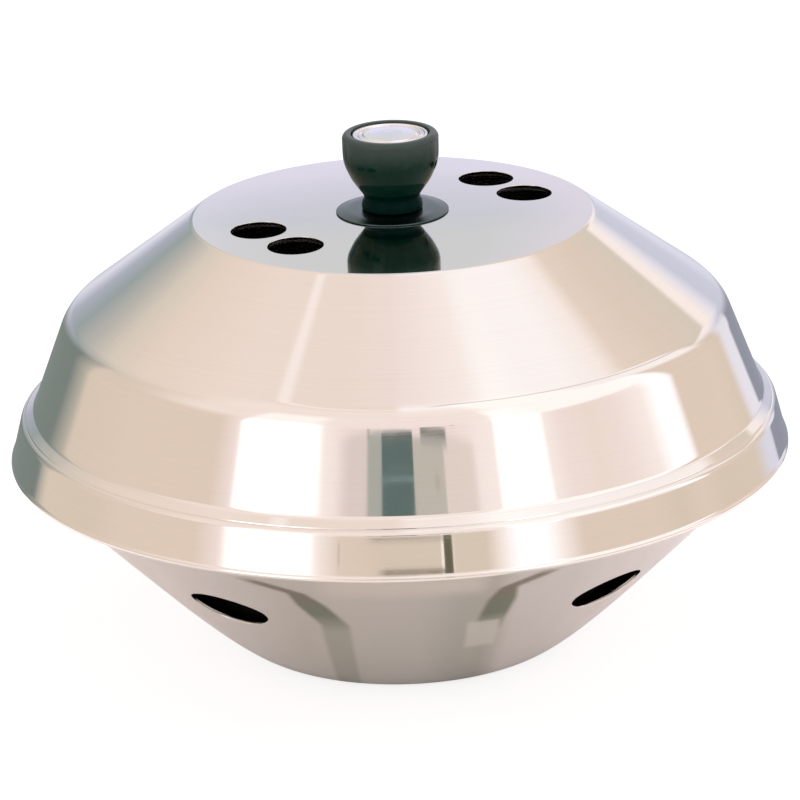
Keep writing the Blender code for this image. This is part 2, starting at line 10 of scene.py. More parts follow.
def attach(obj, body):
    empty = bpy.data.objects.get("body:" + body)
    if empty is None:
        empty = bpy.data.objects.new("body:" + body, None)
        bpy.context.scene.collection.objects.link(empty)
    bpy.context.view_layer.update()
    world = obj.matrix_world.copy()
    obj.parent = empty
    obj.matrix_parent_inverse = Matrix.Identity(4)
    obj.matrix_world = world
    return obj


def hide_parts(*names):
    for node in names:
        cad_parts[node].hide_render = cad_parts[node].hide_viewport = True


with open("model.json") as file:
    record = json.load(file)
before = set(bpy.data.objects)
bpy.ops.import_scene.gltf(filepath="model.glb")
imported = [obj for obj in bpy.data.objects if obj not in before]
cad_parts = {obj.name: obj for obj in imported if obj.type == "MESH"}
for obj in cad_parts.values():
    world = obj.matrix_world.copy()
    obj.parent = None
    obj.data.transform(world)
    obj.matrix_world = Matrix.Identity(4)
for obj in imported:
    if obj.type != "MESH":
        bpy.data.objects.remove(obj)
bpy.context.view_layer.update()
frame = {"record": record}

MM = 0.001
SCENE = bpy.context.scene
SCENE.view_settings.view_transform = "Standard"

BODY_OF = {n: b for b, ns in frame["record"]["behaviour"]["bodies"].items() for n in ns}

# ------------------------------------------------------------------ camera
CAMERA_TURN = -3.5          # degrees round the object from straight in front
CAMERA_EL = 19.5
CAMERA_DIST = 2.446
AIM = Vector((0.0, 0.0, 0.0946))

camera_data = bpy.data.cameras.new("camera")
camera = bpy.data.objects.new("camera", camera_data)
SCENE.collection.objects.link(camera)
camera_data.sensor_width = 36.0
camera_data.lens = 231.9
camera_data.shift_x = 0.0004
camera_data.shift_y = 0.0510
camera_data.clip_start = 0.05
camera_data.clip_end = 60.0
_a, _e = math.radians(CAMERA_TURN), math.radians(CAMERA_EL)
_back = Vector((math.sin(_a) * math.cos(_e), -math.cos(_a) * math.cos(_e), math.sin(_e)))
camera.rotation_mode = "QUATERNION"
camera.location = AIM + _back * CAMERA_DIST
camera.rotation_quaternion = (-_back).to_track_quat("-Z", "Y") @ Matrix.Rotation(
    math.radians(-1.794), 4, "Z"
).to_quaternion()
SCENE.camera = camera


# ------------------------------------------------------------------ node helpers
class Graph:
    """Short forms for building a node tree."""

    def __init__(self, tree):
        self.tree = tree
        for n in list(tree.nodes):
            tree.nodes.remove(n)

    def node(self, kind, **values):
        n = self.tree.nodes.new(kind)
        for k, v in values.items():
            setattr(n, k, v)
        return n

    def put(self, target, value):
        if isinstance(value, bpy.types.NodeSocket):
            self.tree.links.new(value, target)
        elif value is not None:
            if target.type == "RGBA" and len(value) == 3:
                value = (*value, 1.0)
            target.default_value = value

    def math(self, op, a, b=None, c=None, clamp=False):
        n = self.node("ShaderNodeMath", operation=op, use_clamp=clamp)
        for i, v in enumerate((a, b, c)):
            if v is not None:
                self.put(n.inputs[i], v)
        return n.outputs[0]

    def combine(self, x, y, z):
        n = self.node("ShaderNodeCombineXYZ")
        for i, v in enumerate((x, y, z)):
            self.put(n.inputs[i], v)
        return n.outputs[0]

    def separate(self, v):
        n = self.node("ShaderNodeSeparateXYZ")
        self.put(n.inputs[0], v)
        return n.outputs

    def noise(self, vector, scale, detail=2.0, rough=0.5, distortion=0.0):
        n = self.node("ShaderNodeTexNoise")
        self.put(n.inputs["Vector"], vector)
        n.inputs["Scale"].default_value = scale
        n.inputs["Detail"].default_value = detail
        n.inputs["Roughness"].default_value = rough
        n.inputs["Distortion"].default_value = distortion
        return n.outputs["Fac"]

    def remap(self, value, a0, a1, b0, b1, smooth=False):
        n = self.node("ShaderNodeMapRange")
        n.interpolation_type = "SMOOTHSTEP" if smooth else "LINEAR"
        self.put(n.inputs["Value"], value)
        for k, v in (("From Min", a0), ("From Max", a1), ("To Min", b0), ("To Max", b1)):
            n.inputs[k].default_value = v
        return n.outputs["Result"]

    def mix(self, fac, a, b, mode="MIX"):
        n = self.node("ShaderNodeMix", data_type="RGBA", blend_type=mode)
        self.put(n.inputs[0], fac)
        self.put(n.inputs[6], a)
        self.put(n.inputs[7], b)
        return n.outputs[2]

    def bump(self, height, distance, strength=1.0, normal=None):
        n = self.node("ShaderNodeBump")
        self.put(n.inputs["Height"], height)
        n.inputs["Distance"].default_value = distance
        n.inputs["Strength"].default_value = strength
        if normal is not None:
            self.put(n.inputs["Normal"], normal)
        return n.outputs["Normal"]


# ------------------------------------------------------------------ studio: light from every direction
WHITE = (2.1, 2.1, 2.1)
PEARL = (1.38, 1.32, 1.36)
SNOW = (1.22, 1.17, 1.18)
CREAM = (1.17, 1.06, 1.02)
ROSE = (1.08, 0.93, 0.90)
BLUSH = (1.05, 0.90, 0.82)
HONEY = (0.97, 0.82, 0.71)
SAND = (0.915, 0.76, 0.65)
CLAY = (0.85, 0.725, 0.61)
STRAW = (0.83, 0.75, 0.65)
DUN = (0.60, 0.58, 0.54)
OLIVE = (0.56, 0.53, 0.46)
ASH = (0.38, 0.44, 0.45)
IRON = (0.48, 0.51, 0.61)
MOSS = (0.235, 0.275, 0.255)
SLATE = (0.33, 0.345, 0.42)
HAZE = (0.70, 0.72, 0.86)
FROST = (0.84, 0.84, 0.97)
MIST = (0.96, 0.93, 1.03)

def build_world():
    """A tent of paper round a table, open at the back where the room is dark.  Directions are azimuth (nought
    towards the camera, plus to the right) and elevation.  Each slope of the lid looks at its own belt of the
    tent: the low wall, the high wall or the roof."""
    world = bpy.data.worlds.new("studio")
    world.use_nodes = True
    SCENE.world = world
    g = Graph(world.node_tree)
    way = g.node("ShaderNodeTexCoord").outputs["Generated"]
    turn = g.node("ShaderNodeVectorRotate", rotation_type="Z_AXIS")
    g.put(turn.inputs["Vector"], way)
    turn.inputs["Angle"].default_value = math.radians(-CAMERA_TURN)
    x, y, z = g.separate(turn.outputs[0])
    az = g.math("MULTIPLY", g.math("ARCTAN2", x, g.math("MULTIPLY", y, -1.0)), 180 / math.pi)
    el = g.math("MULTIPLY", g.math("ARCSINE", g.math("MAXIMUM", g.math("MINIMUM", z, 1.0), -1.0)), 180 / math.pi)
    side = g.math("ABSOLUTE", az)

    def belt(value, lo, hi, stops):
        """Colours along a belt; each stop is (position, colour)."""
        n = g.node("ShaderNodeValToRGB")
        n.color_ramp.interpolation = "LINEAR"
        el_ = n.color_ramp.elements
        while len(el_) < len(stops):
            el_.new(0.5)
        for e, (a, c) in zip(el_, stops):
            e.position = (a - lo) / (hi - lo)
            e.color = (*[v / 2.1 for v in c], 1.0)
        g.put(n.inputs["Fac"], g.remap(value, lo, hi, 0.0, 1.0))
        return g.mix(1.0, n.outputs["Color"], (2.1, 2.1, 2.1), "MULTIPLY")

    def window(value, lo, hi, soft_lo, soft_hi):
        up = g.remap(value, lo - soft_lo / 2, lo + soft_lo / 2, 0.0, 1.0, smooth=True)
        down = g.remap(value, hi - soft_hi / 2, hi + soft_hi / 2, 1.0, 0.0, smooth=True)
        return g.math("MULTIPLY", up, down)

    def patch(base, colour, azs, els, amount=1.0):
        f = g.math("MULTIPLY", window(az, *azs), window(el, *els))
        if amount != 1.0:
            f = g.math("MULTIPLY", f, amount)
        return g.mix(f, base, colour)

    # high wall, which the steep slope looks at; two white soft boxes stand beside the camera
    high = belt(az, -180.0, 180.0, [
        (-180, MOSS), (-137, MOSS), (-127, OLIVE), (-123, CLAY), (-92, SAND), (-62, SAND), (-55, ROSE), (-51.5, WHITE), (-31, WHITE),
        (-25, CREAM), (-18, ROSE), (18, ROSE), (31, CREAM), (34, WHITE), (45, WHITE), (49, CREAM), (55, ROSE), (66, BLUSH), (76, ROSE),
        (87, CREAM), (93, PEARL), (101, PEARL), (104, SAND), (125, SAND), (136, CLAY), (141, MIST), (149, MIST), (151.5, SLATE),
        (180, SLATE),
    ])
    # low wall, which the skirt looks at
    low = belt(az, -180.0, 180.0, [
        (-180, MOSS), (-134, MOSS), (-130.5, OLIVE), (-126, CLAY), (-100, CLAY), (-88, SAND), (-62, SAND), (-54, ROSE), (-48, WHITE),
        (-31, WHITE), (-25, CREAM), (-18, SAND), (-5, CLAY), (24, CLAY), (29, CREAM), (33, PEARL), (42, PEARL), (47, CREAM), (53, SAND),
        (78, SAND), (88, CLAY), (98, SAND), (108, CLAY), (128, CLAY), (137, FROST), (144.5, FROST), (146, SLATE), (180, SLATE),
    ])
    # roof, by elevation, on the left and on the right
    roof_left = belt(el, -25.0, 90.0, [
        (-25, MIST), (-7, FROST), (3, IRON), (12, ASH), (22, DUN), (30, STRAW), (40, HONEY), (60, BLUSH), (68.2, BLUSH), (69.2, CREAM),
        (70.4, CREAM), (71.6, BLUSH), (80, BLUSH), (90, ROSE),
    ])
    roof_right = belt(el, -25.0, 90.0, [
        (-25, MIST), (-8, FROST), (1, HAZE), (9, HAZE), (13.5, MIST), (18, CREAM), (20.6, CREAM), (22.5, STRAW), (36, SAND), (47, HONEY),
        (51.5, CREAM), (60, SNOW), (71, SNOW), (79, CREAM), (90, ROSE),
    ])
    roof = g.mix(g.remap(x, -0.02, 0.02, 0.0, 1.0), roof_left, roof_right)

    # where the low wall meets the high wall, and where the high wall meets the roof
    low_top = g.math("SUBTRACT", 14.6, g.math("MULTIPLY", g.math("MULTIPLY", az, az), 0.00115))
    colour = g.mix(g.remap(g.math("SUBTRACT", el, low_top), -2.0, 2.0, 0.0, 1.0, smooth=True), low, high)
    roof_foot = g.math("MINIMUM", 48.0, g.math("SUBTRACT", 120.0, g.math("MULTIPLY", side, 0.77)))
    colour = g.mix(g.remap(g.math("SUBTRACT", el, roof_foot), -5.0, 5.0, 0.0, 1.0, smooth=True), colour, roof)
    # lamps behind the paper over the camera, weaker on the left than on the right, with a beam across the right one
    colour = patch(colour, (1.14, 1.0, 0.94), (-92, 40, 44, 20), (26, 66, 14, 10), 0.8)
    colour = patch(colour, (1.29, 1.25, 1.23), (36, 98, 16, 14), (22, 75, 6, 6), 0.95)
    across = g.math("SUBTRACT", az, 59.0)
    beam_el = g.math("SUBTRACT", 73.2, g.math("MULTIPLY", across, g.math("ADD", 0.2147, g.math("MULTIPLY", across, 0.0056))))
    from_beam = g.math("SUBTRACT", el, beam_el)
    f = g.math("MULTIPLY", window(from_beam, -15.0, 6.0, 8.0, 4.0), window(az, 88.0, 128.0, 14.0, 5.0))
    colour = g.mix(f, colour, (1.20, 1.11, 1.10))
    f = g.math("MULTIPLY", window(from_beam, -1.5, 1.5, 1.4, 1.4), window(az, 30.0, 128.0, 30.0, 6.0))
    colour = g.mix(g.math("MULTIPLY", f, 0.9), colour, (0.78, 0.71, 0.70))
    # the pale back of the tent, which the lid's flat top looks at: paler below and to the right
    past = g.math("SUBTRACT", 180.0, side)
    to_right = g.math("MULTIPLY", past, g.remap(az, -1.0, 1.0, -1.0, 1.0))
    back = belt(el, 8.0, 28.0, [
        (8, (0.90, 0.87, 1.06)), (14, (0.86, 0.84, 1.0)), (16.4, (0.74, 0.75, 0.87)), (17.2, (0.70, 0.73, 0.81)), (18.2, (0.74, 0.76, 0.79)),
        (28, (0.78, 0.79, 0.79)),
    ])
    back = g.mix(g.remap(to_right, 1.2, 4.2, 0.0, 0.9, smooth=True), back, (0.88, 0.84, 0.96))
    back = g.mix(g.remap(to_right, -1.8, -4.6, 0.0, 0.6, smooth=True), back, (0.84, 0.86, 1.0))
    f = g.math("MULTIPLY", g.remap(past, 6.0, 9.0, 1.0, 0.0, smooth=True), window(el, 2.0, 60.0, 8.0, 30.0))
    colour = g.mix(f, colour, back)

    seen = g.node("ShaderNodeLightPath").outputs["Is Camera Ray"]
    colour = g.mix(seen, colour, (1.0, 1.0, 1.0))
    bg = g.node("ShaderNodeBackground")
    g.put(bg.inputs["Color"], colour)
    bg.inputs["Strength"].default_value = 1.0
    out = g.node("ShaderNodeOutputWorld")
    g.tree.links.new(bg.outputs[0], out.inputs["Surface"])


build_world()


def plain_mesh(name, verts, faces):
    mesh = bpy.data.meshes.new(name)
    mesh.from_pydata(verts, [], faces)
    mesh.update()
    return mesh


def stage_object(name, mesh, material):
    obj = bpy.data.objects.new(name, mesh)
    SCENE.collection.objects.link(obj)
    mesh.materials.append(material)
    return obj


def paper(name, albedo, glow_amount):
    m = bpy.data.materials.new(name)
    m.use_nodes = True
    g = Graph(m.node_tree)
    where = g.node("ShaderNodeTexCoord").outputs["Object"]
    grain = g.noise(where, 60.0, 3.0, 0.6)
    shader = g.node("ShaderNodeBsdfPrincipled")
    g.put(shader.inputs["Base Color"], g.mix(grain, tuple(a * 0.985 for a in albedo), albedo))
    shader.inputs["Roughness"].default_value = 0.9
    shader.inputs["Specular IOR Level"].default_value = 0.1
    shader.inputs["Emission Color"].default_value = (1.0, 1.0, 1.0, 1.0)
    shader.inputs["Emission Strength"].default_value = glow_amount
    out = g.node("ShaderNodeOutputMaterial")
    g.tree.links.new(shader.outputs[0], out.inputs["Surface"])
    return m


def table_cloth(name):
    """The table as the bowl sees it, with painted shade and light: greyer in front under the grill, paler at the sides,
    with two dark bracket feet.
    """
    m = bpy.data.materials.new(name)
    m.use_nodes = True
    g = Graph(m.node_tree)
    where = g.node("ShaderNodeTexCoord").outputs["Object"]
    x, y, z = g.separate(where)
    r = g.math("MULTIPLY", g.math("SQRT", g.math("ADD", g.math("MULTIPLY", x, x), g.math("MULTIPLY", y, y))), 1000.0)
    az = g.math("MULTIPLY", g.math("ARCTAN2", x, g.math("MULTIPLY", y, -1.0)), 180 / math.pi)
    az = g.math("SUBTRACT", az, CAMERA_TURN)
    grain = g.noise(where, 40.0, 3.0, 0.6)
    ramp = g.node("ShaderNodeValToRGB")
    ramp.color_ramp.interpolation = "LINEAR"
    # painted shade and light by direction round the grill: grey in front where the grill shades the table, pale at the
    # sides
    shade_and_light_tones = [
        (-84, (0.98, 0.95, 0.965)), (-54, (0.84, 0.83, 0.85)), (-32, (0.735, 0.725, 0.70)), (4, (0.695, 0.69, 0.685)),
        (16, (0.585, 0.60, 0.575)), (24, (0.60, 0.59, 0.55)), (33, (0.85, 0.825, 0.835)), (52, (0.90, 0.88, 0.89)), (84, (1.0, 0.965, 0.985)),
    ]
    while len(ramp.color_ramp.elements) < len(shade_and_light_tones):
        ramp.color_ramp.elements.new(0.5)
    for e, (a, c) in zip(ramp.color_ramp.elements, shade_and_light_tones):
        e.position = (a + 90.0) / 180.0
        e.color = (*c, 1.0)
    g.put(ramp.inputs["Fac"], g.remap(az, -90.0, 90.0, 0.0, 1.0))
    base = ramp.outputs["Color"]
    base = g.mix(g.remap(grain, 0.3, 0.7, 0.0, 0.5), base, g.mix(1.0, base, (0.94, 0.94, 0.93), "MULTIPLY"))
    # painted light: paler just under the skirt in front
    f = g.math("MULTIPLY", g.remap(r, 126.0, 132.0, 0.0, 0.8, smooth=True), g.remap(g.math("ABSOLUTE", az), 18.0, 26.0, 1.0, 0.0, smooth=True))
    base = g.mix(f, base, (0.84, 0.80, 0.765))
    # each foot runs straight in, and turns outwards where it leaves the base; the right one has a pale end
    for sign, near, far, end in ((-1.0, 20.6, 31.0, 115.5), (1.0, 25.4, 29.2, 113.5)):
        centre = g.math("ADD", near, g.math("MULTIPLY", g.math("MAXIMUM", g.math("SUBTRACT", r, 114.0), 0.0), (far - near) / 18.0))
        centre = g.math("ADD", centre, g.math("MULTIPLY", g.math("MAXIMUM", g.math("SUBTRACT", r, 130.0), 0.0), 1.5))
        gap = g.math("ABSOLUTE", g.math("SUBTRACT", g.math("MULTIPLY", az, sign), centre))
        half = g.remap(r, 124.0, 130.0, 4.3, 2.6)
        f = g.math("MULTIPLY", g.remap(g.math("SUBTRACT", gap, half), -1.2, 1.2, 0.92, 0.0, smooth=True), g.remap(r, end - 5.0, end + 4.0, 0.22 - 0.18 * sign, 1.0))
        f = g.math("MULTIPLY", f, g.remap(r, 135.5, 138.0, 1.0, 0.0))
        base = g.mix(f, base, g.mix(g.remap(r, 122.0, 129.0, 0.0, 1.0), (0.20, 0.235, 0.165), (0.23, 0.20, 0.155)))
    f = g.math("MULTIPLY", g.remap(az, 17.5, 19.0, 0.0, 1.0), g.remap(az, 27.5, 29.0, 1.0, 0.0))
    f = g.math("MULTIPLY", f, g.math("MULTIPLY", g.remap(r, 99.0, 101.0, 0.0, 0.85), g.remap(r, 113.0, 114.5, 1.0, 0.0)))
    base = g.mix(f, base, (0.80, 0.80, 0.755))
    shader = g.node("ShaderNodeBsdfPrincipled")
    g.put(shader.inputs["Base Color"], base)
    shader.inputs["Roughness"].default_value = 0.9
    shader.inputs["Specular IOR Level"].default_value = 0.1
    shader.inputs["Emission Color"].default_value = (1.0, 0.98, 0.96, 1.0)
    shader.inputs["Emission Strength"].default_value = 0.05
    out = g.node("ShaderNodeOutputMaterial")
    g.tree.links.new(shader.outputs[0], out.inputs["Surface"])
    return m


FLOOR = stage_object(
    "floor",
    plain_mesh("floor", [(-14, -14, 0), (14, -14, 0), (14, 14, 0), (-14, 14, 0)], [(0, 1, 2, 3)]),
    paper("floor_paper", (0.30, 0.30, 0.30), 0.80),
)
FLOOR.location.z = -0.0004
FLOOR.visible_glossy = False

# The table ends just behind the grill.
TABLE = stage_object(
    "table_top",
    plain_mesh("table_top", [(-0.7, -0.8, 0), (0.8, -0.8, 0), (0.8, 0.17, 0), (-0.7, 0.17, 0)], [(0, 1, 2, 3)]),
    table_cloth("table_cloth"),
)
TABLE.location.z = -0.0002
TABLE.visible_camera = False
TABLE.visible_diffuse = False
TABLE.visible_shadow = False
TABLE.visible_transmission = False


def camera_stand():
    """What stands between the soft boxes: a dark gap with a rail, paler posts beside it, and a dark strip low down.
    It is drawn on a card 0.6 m in front of the grill, clear elsewhere, in millimetres across and up."""
    m = bpy.data.materials.new("camera_stand")
    m.use_nodes = True
    g = Graph(m.node_tree)
    where = g.node("ShaderNodeTexCoord").outputs["Object"]
    across, _, up = g.separate(where)
    across, up = g.math("MULTIPLY", across, 1000.0), g.math("MULTIPLY", up, 1000.0)
    colour, cover = None, None
    # (left, right, softness left, right), (bottom, top, softness bottom, top), colour, cover
    marks = [
        ((-175, -60, 60, 12), (270, 338, 4, 6), (0.84, 0.72, 0.69), 0.8),
        ((-99, -52, 12, 1.5), (270, 337, 4, 5), (0.50, 0.515, 0.475), 1.0),
        ((-99, -91, 3, 3), (333, 342, 2, 2), (0.46, 0.43, 0.38), 0.8),
        ((36, 132, 2, 12), (270, 333, 4, 4), (0.61, 0.58, 0.505), 0.95),
        ((132, 228, 10, 34), (270, 336, 4, 8), (0.90, 0.78, 0.70), 0.8),
        ((62, 142, 3, 8), (328.5, 333.5, 2, 1), (0.46, 0.46, 0.43), 0.9),
        ((62, 142, 3, 6), (333.5, 340.0, 1, 1), (0.22, 0.22, 0.20), 1.0),
        ((155, 173, 5, 5), (345.5, 351.5, 2, 2), (0.26, 0.21, 0.19), 0.9),
        ((98, 112, 5, 5), (303, 312, 4, 4), (0.50, 0.45, 0.38), 0.6),
        ((-55, 37.5, 1.5, 1.5), (270, 336.2, 1, 1), (0.135, 0.195, 0.187), 1.0),
        ((-55, 37.5, 1.5, 1.5), (333.6, 336.2, 1, 0.6), (0.10, 0.11, 0.10), 1.0),
        ((-57, 40, 1.5, 1.5), (336.4, 338.8, 0.6, 1.4), (1.25, 1.15, 1.1), 1.0),
        ((-57, 37.5, 1.5, 1.5), (307.2, 309.8, 0.6, 1.2), (0.27, 0.36, 0.35), 1.0),
        ((-40, 30, 8, 12), (314.2, 315.6, 0.6, 0.6), (0.20, 0.26, 0.25), 0.8),
        ((97, 104, 1.5, 1.5), (120, 190, 1, 1), (1.15, 1.08, 0.98), 1.0),
        ((104.5, 127, 1.5, 2.5), (120, 177.5, 1, 1), (0.16, 0.15, 0.10), 1.0),
        ((127.5, 133, 2, 3), (120, 178, 1, 1), (1.05, 0.95, 0.85), 0.7),
        ((-92, 104, 50, 1), (173.6, 175.8, 0.8, 0.9), (0.36, 0.32, 0.27), 0.9),
        ((-62, 127, 50, 1), (155.4, 158.2, 0.8, 0.9), (0.18, 0.155, 0.11), 1.0),
        ((-171, -166, 2, 2), (160, 174, 2, 3), (0.52, 0.46, 0.40), 0.75),
    ]
    for (x0, x1, sl, sr), (z0, z1, sb, st), c, amount in marks:
        f = g.remap(across, x0 - sl / 2, x0 + sl / 2, 0.0, 1.0, smooth=True)
        f = g.math("MULTIPLY", f, g.remap(across, x1 - sr / 2, x1 + sr / 2, 1.0, 0.0, smooth=True))
        f = g.math("MULTIPLY", f, g.remap(up, z0 - sb / 2, z0 + sb / 2, 0.0, 1.0, smooth=True))
        f = g.math("MULTIPLY", f, g.remap(up, z1 - st / 2, z1 + st / 2, amount, 0.0, smooth=True))
        colour = c if colour is None else g.mix(f, colour, c)
        cover = f if cover is None else g.math("MAXIMUM", cover, f)
    e = g.node("ShaderNodeEmission")
    g.put(e.inputs["Color"], colour)
    clear = g.node("ShaderNodeBsdfTransparent")
    both = g.node("ShaderNodeMixShader")
    g.put(both.inputs[0], cover)
    g.tree.links.new(clear.outputs[0], both.inputs[1])
    g.tree.links.new(e.outputs[0], both.inputs[2])
    out = g.node("ShaderNodeOutputMaterial")
    g.tree.links.new(both.outputs[0], out.inputs["Surface"])
    return m


STAND = stage_object(
    "camera_stand",
    plain_mesh("camera_stand", [(-0.26, 0, 0.115), (0.26, 0, 0.115), (0.26, 0, 0.36), (-0.26, 0, 0.36)], [(0, 1, 2, 3)]),
    camera_stand(),
)
STAND.rotation_euler.z = math.radians(CAMERA_TURN)
STAND.location = Matrix.Rotation(math.radians(CAMERA_TURN), 3, "Z") @ Vector((0, -0.6, 0))
STAND.visible_camera = False
STAND.visible_diffuse = False
STAND.visible_shadow = False
STAND.visible_transmission = False

overhead = bpy.data.lights.new("overhead", "AREA")
overhead.shape = "DISK"
overhead.size = 1.6
overhead.energy = 9.0
overhead.color = (1.0, 0.99, 0.98)
overhead_obj = bpy.data.objects.new("overhead", overhead)
overhead_obj.location = (0.1, -0.2, 1.7)
SCENE.collection.objects.link(overhead_obj)
overhead_obj.visible_glossy = False
overhead_obj.visible_camera = False


# ------------------------------------------------------------------ turned outlines
# An outline is a list of short runs (start, normal at start, end, normal at end) in millimetres, radius and
# height.  It runs down the outside, so that the outward normal is on its left.
def unit(v):
    n = math.hypot(*v)
    return (v[0] / n, v[1] / n)


def left(p, q):
    t = unit((q[0] - p[0], q[1] - p[1]))
    return (-t[1], t[0])


def arc(centre, radius, a0, a1, step=6.0):
    n = max(2, int(math.ceil(abs(a1 - a0) / step)))
    side = 1.0 if a1 < a0 else -1.0
    out = []
    for k in range(n + 1):
        a = math.radians(a0 + (a1 - a0) * k / n)
        c, s = math.cos(a), math.sin(a)
        out.append(((centre[0] + radius * c, centre[1] + radius * s), (side * c, side * s)))
    return out


def fillet(before, corner, after, radius, step=6.0):
    p = Vector(corner)
    a, b = (Vector(before) - p).normalized(), (Vector(after) - p).normalized()
    half = a.angle(b) / 2
    centre = p + (a + b).normalized() * (radius / math.sin(half))
    start, end = p + a * radius / math.tan(half), p + b * radius / math.tan(half)
    a0 = math.degrees(math.atan2(start.y - centre.y, start.x - centre.x))
    a1 = math.degrees(math.atan2(end.y - centre.y, end.x - centre.x))
    while a1 - a0 > 180:
        a1 -= 360
    while a1 - a0 < -180:
        a1 += 360
    return arc((centre.x, centre.y), radius, a0, a1, step)


def corners(points, step=6.0):
    """(r, z, radius) corners as points and fillets."""
    out = []
    for i, p in enumerate(points):
        if len(p) > 2 and p[2] > 0 and 0 < i < len(points) - 1:
            out.append(fillet(points[i - 1][:2], p[:2], points[i + 1][:2], p[2], step))
        else:
            out.append(tuple(p[:2]))
    return out


def curve(fn, n):
    """fn(t) gives a point for t from 0 to 1; normals are worked out from its slope."""
    out = []
    for k in range(n + 1):
        t = k / n
        p = fn(t)
        out.append((p, left(fn(t - 1e-4), fn(t + 1e-4))))
    return out


def spline(points, per=8):
    """A smooth curve through points, with normals."""
    pts = [np.array(p, float) for p in points]
    ext = [2 * pts[0] - pts[1]] + pts + [2 * pts[-1] - pts[-2]]

    def at(u):
        u = min(max(u, 0.0), len(pts) - 1 - 1e-9)
        i = int(u)
        t = u - i
        p0, p1, p2, p3 = ext[i : i + 4]
        return tuple(
            0.5 * ((2 * p1) + (-p0 + p2) * t + (2 * p0 - 5 * p1 + 4 * p2 - p3) * t * t + (-p0 + 3 * p1 - 3 * p2 + p3) * t**3)
        )

    total = len(pts) - 1
    out = []
    for k in range(total * per + 1):
        u = k / per
        out.append((at(u), left(at(max(u - 1e-3, 0)), at(min(u + 1e-3, total)))))
    return out


def runs(*parts):
    """Points and curved stretches joined by straight lines."""
    out = []
    last = None
    for part in parts:
        pairs = part if isinstance(part, list) else [(part, None)]
        first = pairs[0][0]
        if last is not None and math.dist(last, first) > 1e-4:
            n = left(last, first)
            out.append((last, n, first, n))
        for (p, n), (q, m) in zip(pairs, pairs[1:]):
            if math.dist(p, q) > 1e-5:
                out.append((p, n, q, m))
        last = pairs[-1][0]
    return out


def closed(segs):
    p, q = segs[-1][2], segs[0][0]
    if math.dist(p, q) > 1e-4:
        n = left(p, q)
        segs = segs + [(p, n, q, n)]
    return segs


def offset_back(segs, t):
    """The sheet's other side, running back, t inside the outline."""
    out = []
    for p, n, q, m in reversed(segs):
        a = (q[0] - t * m[0], q[1] - t * m[1])
        b = (p[0] - t * n[0], p[1] - t * n[1])
        if a[0] < 0:
            a = (0.0, a[1])
        if b[0] < 0:
            b = (0.0, b[1])
        if out and math.dist(out[-1][2], a) > 1e-4:
            k = left(out[-1][2], a)
            out.append((out[-1][2], k, a, k))
        if math.dist(a, b) > 1e-5:
            out.append((a, (-m[0], -m[1]), b, (-n[0], -n[1])))
    return out


def turned_mesh(name, segs, n=128):
    """The closed outline turned about Z."""
    pts = [s[0] for s in segs]
    if math.dist(segs[-1][2], segs[0][0]) > 1e-3:
        pts.append(segs[-1][2])
        loop = False
    else:
        loop = True
    verts, ring = [], []
    for r, z in pts:
        if r < 1e-4:
            ring.append((len(verts), 1))
            verts.append((0.0, 0.0, z * MM))
        else:
            ring.append((len(verts), n))
            for k in range(n):
                a = 2 * math.pi * k / n
                verts.append((r * MM * math.cos(a), r * MM * math.sin(a), z * MM))
    faces = []
    count = len(pts)
    for i in range(count if loop else count - 1):
        (a, na), (b, nb) = ring[i], ring[(i + 1) % count]
        if na == 1 and nb == 1:
            continue
        for k in range(n):
            k2 = (k + 1) % n
            if na == 1:
                faces.append((a, b + k, b + k2))
            elif nb == 1:
                faces.append((a + k, b, a + k2))
            else:
                faces.append((a + k, b + k, b + k2, a + k2))
    return plain_mesh(name, verts, faces)


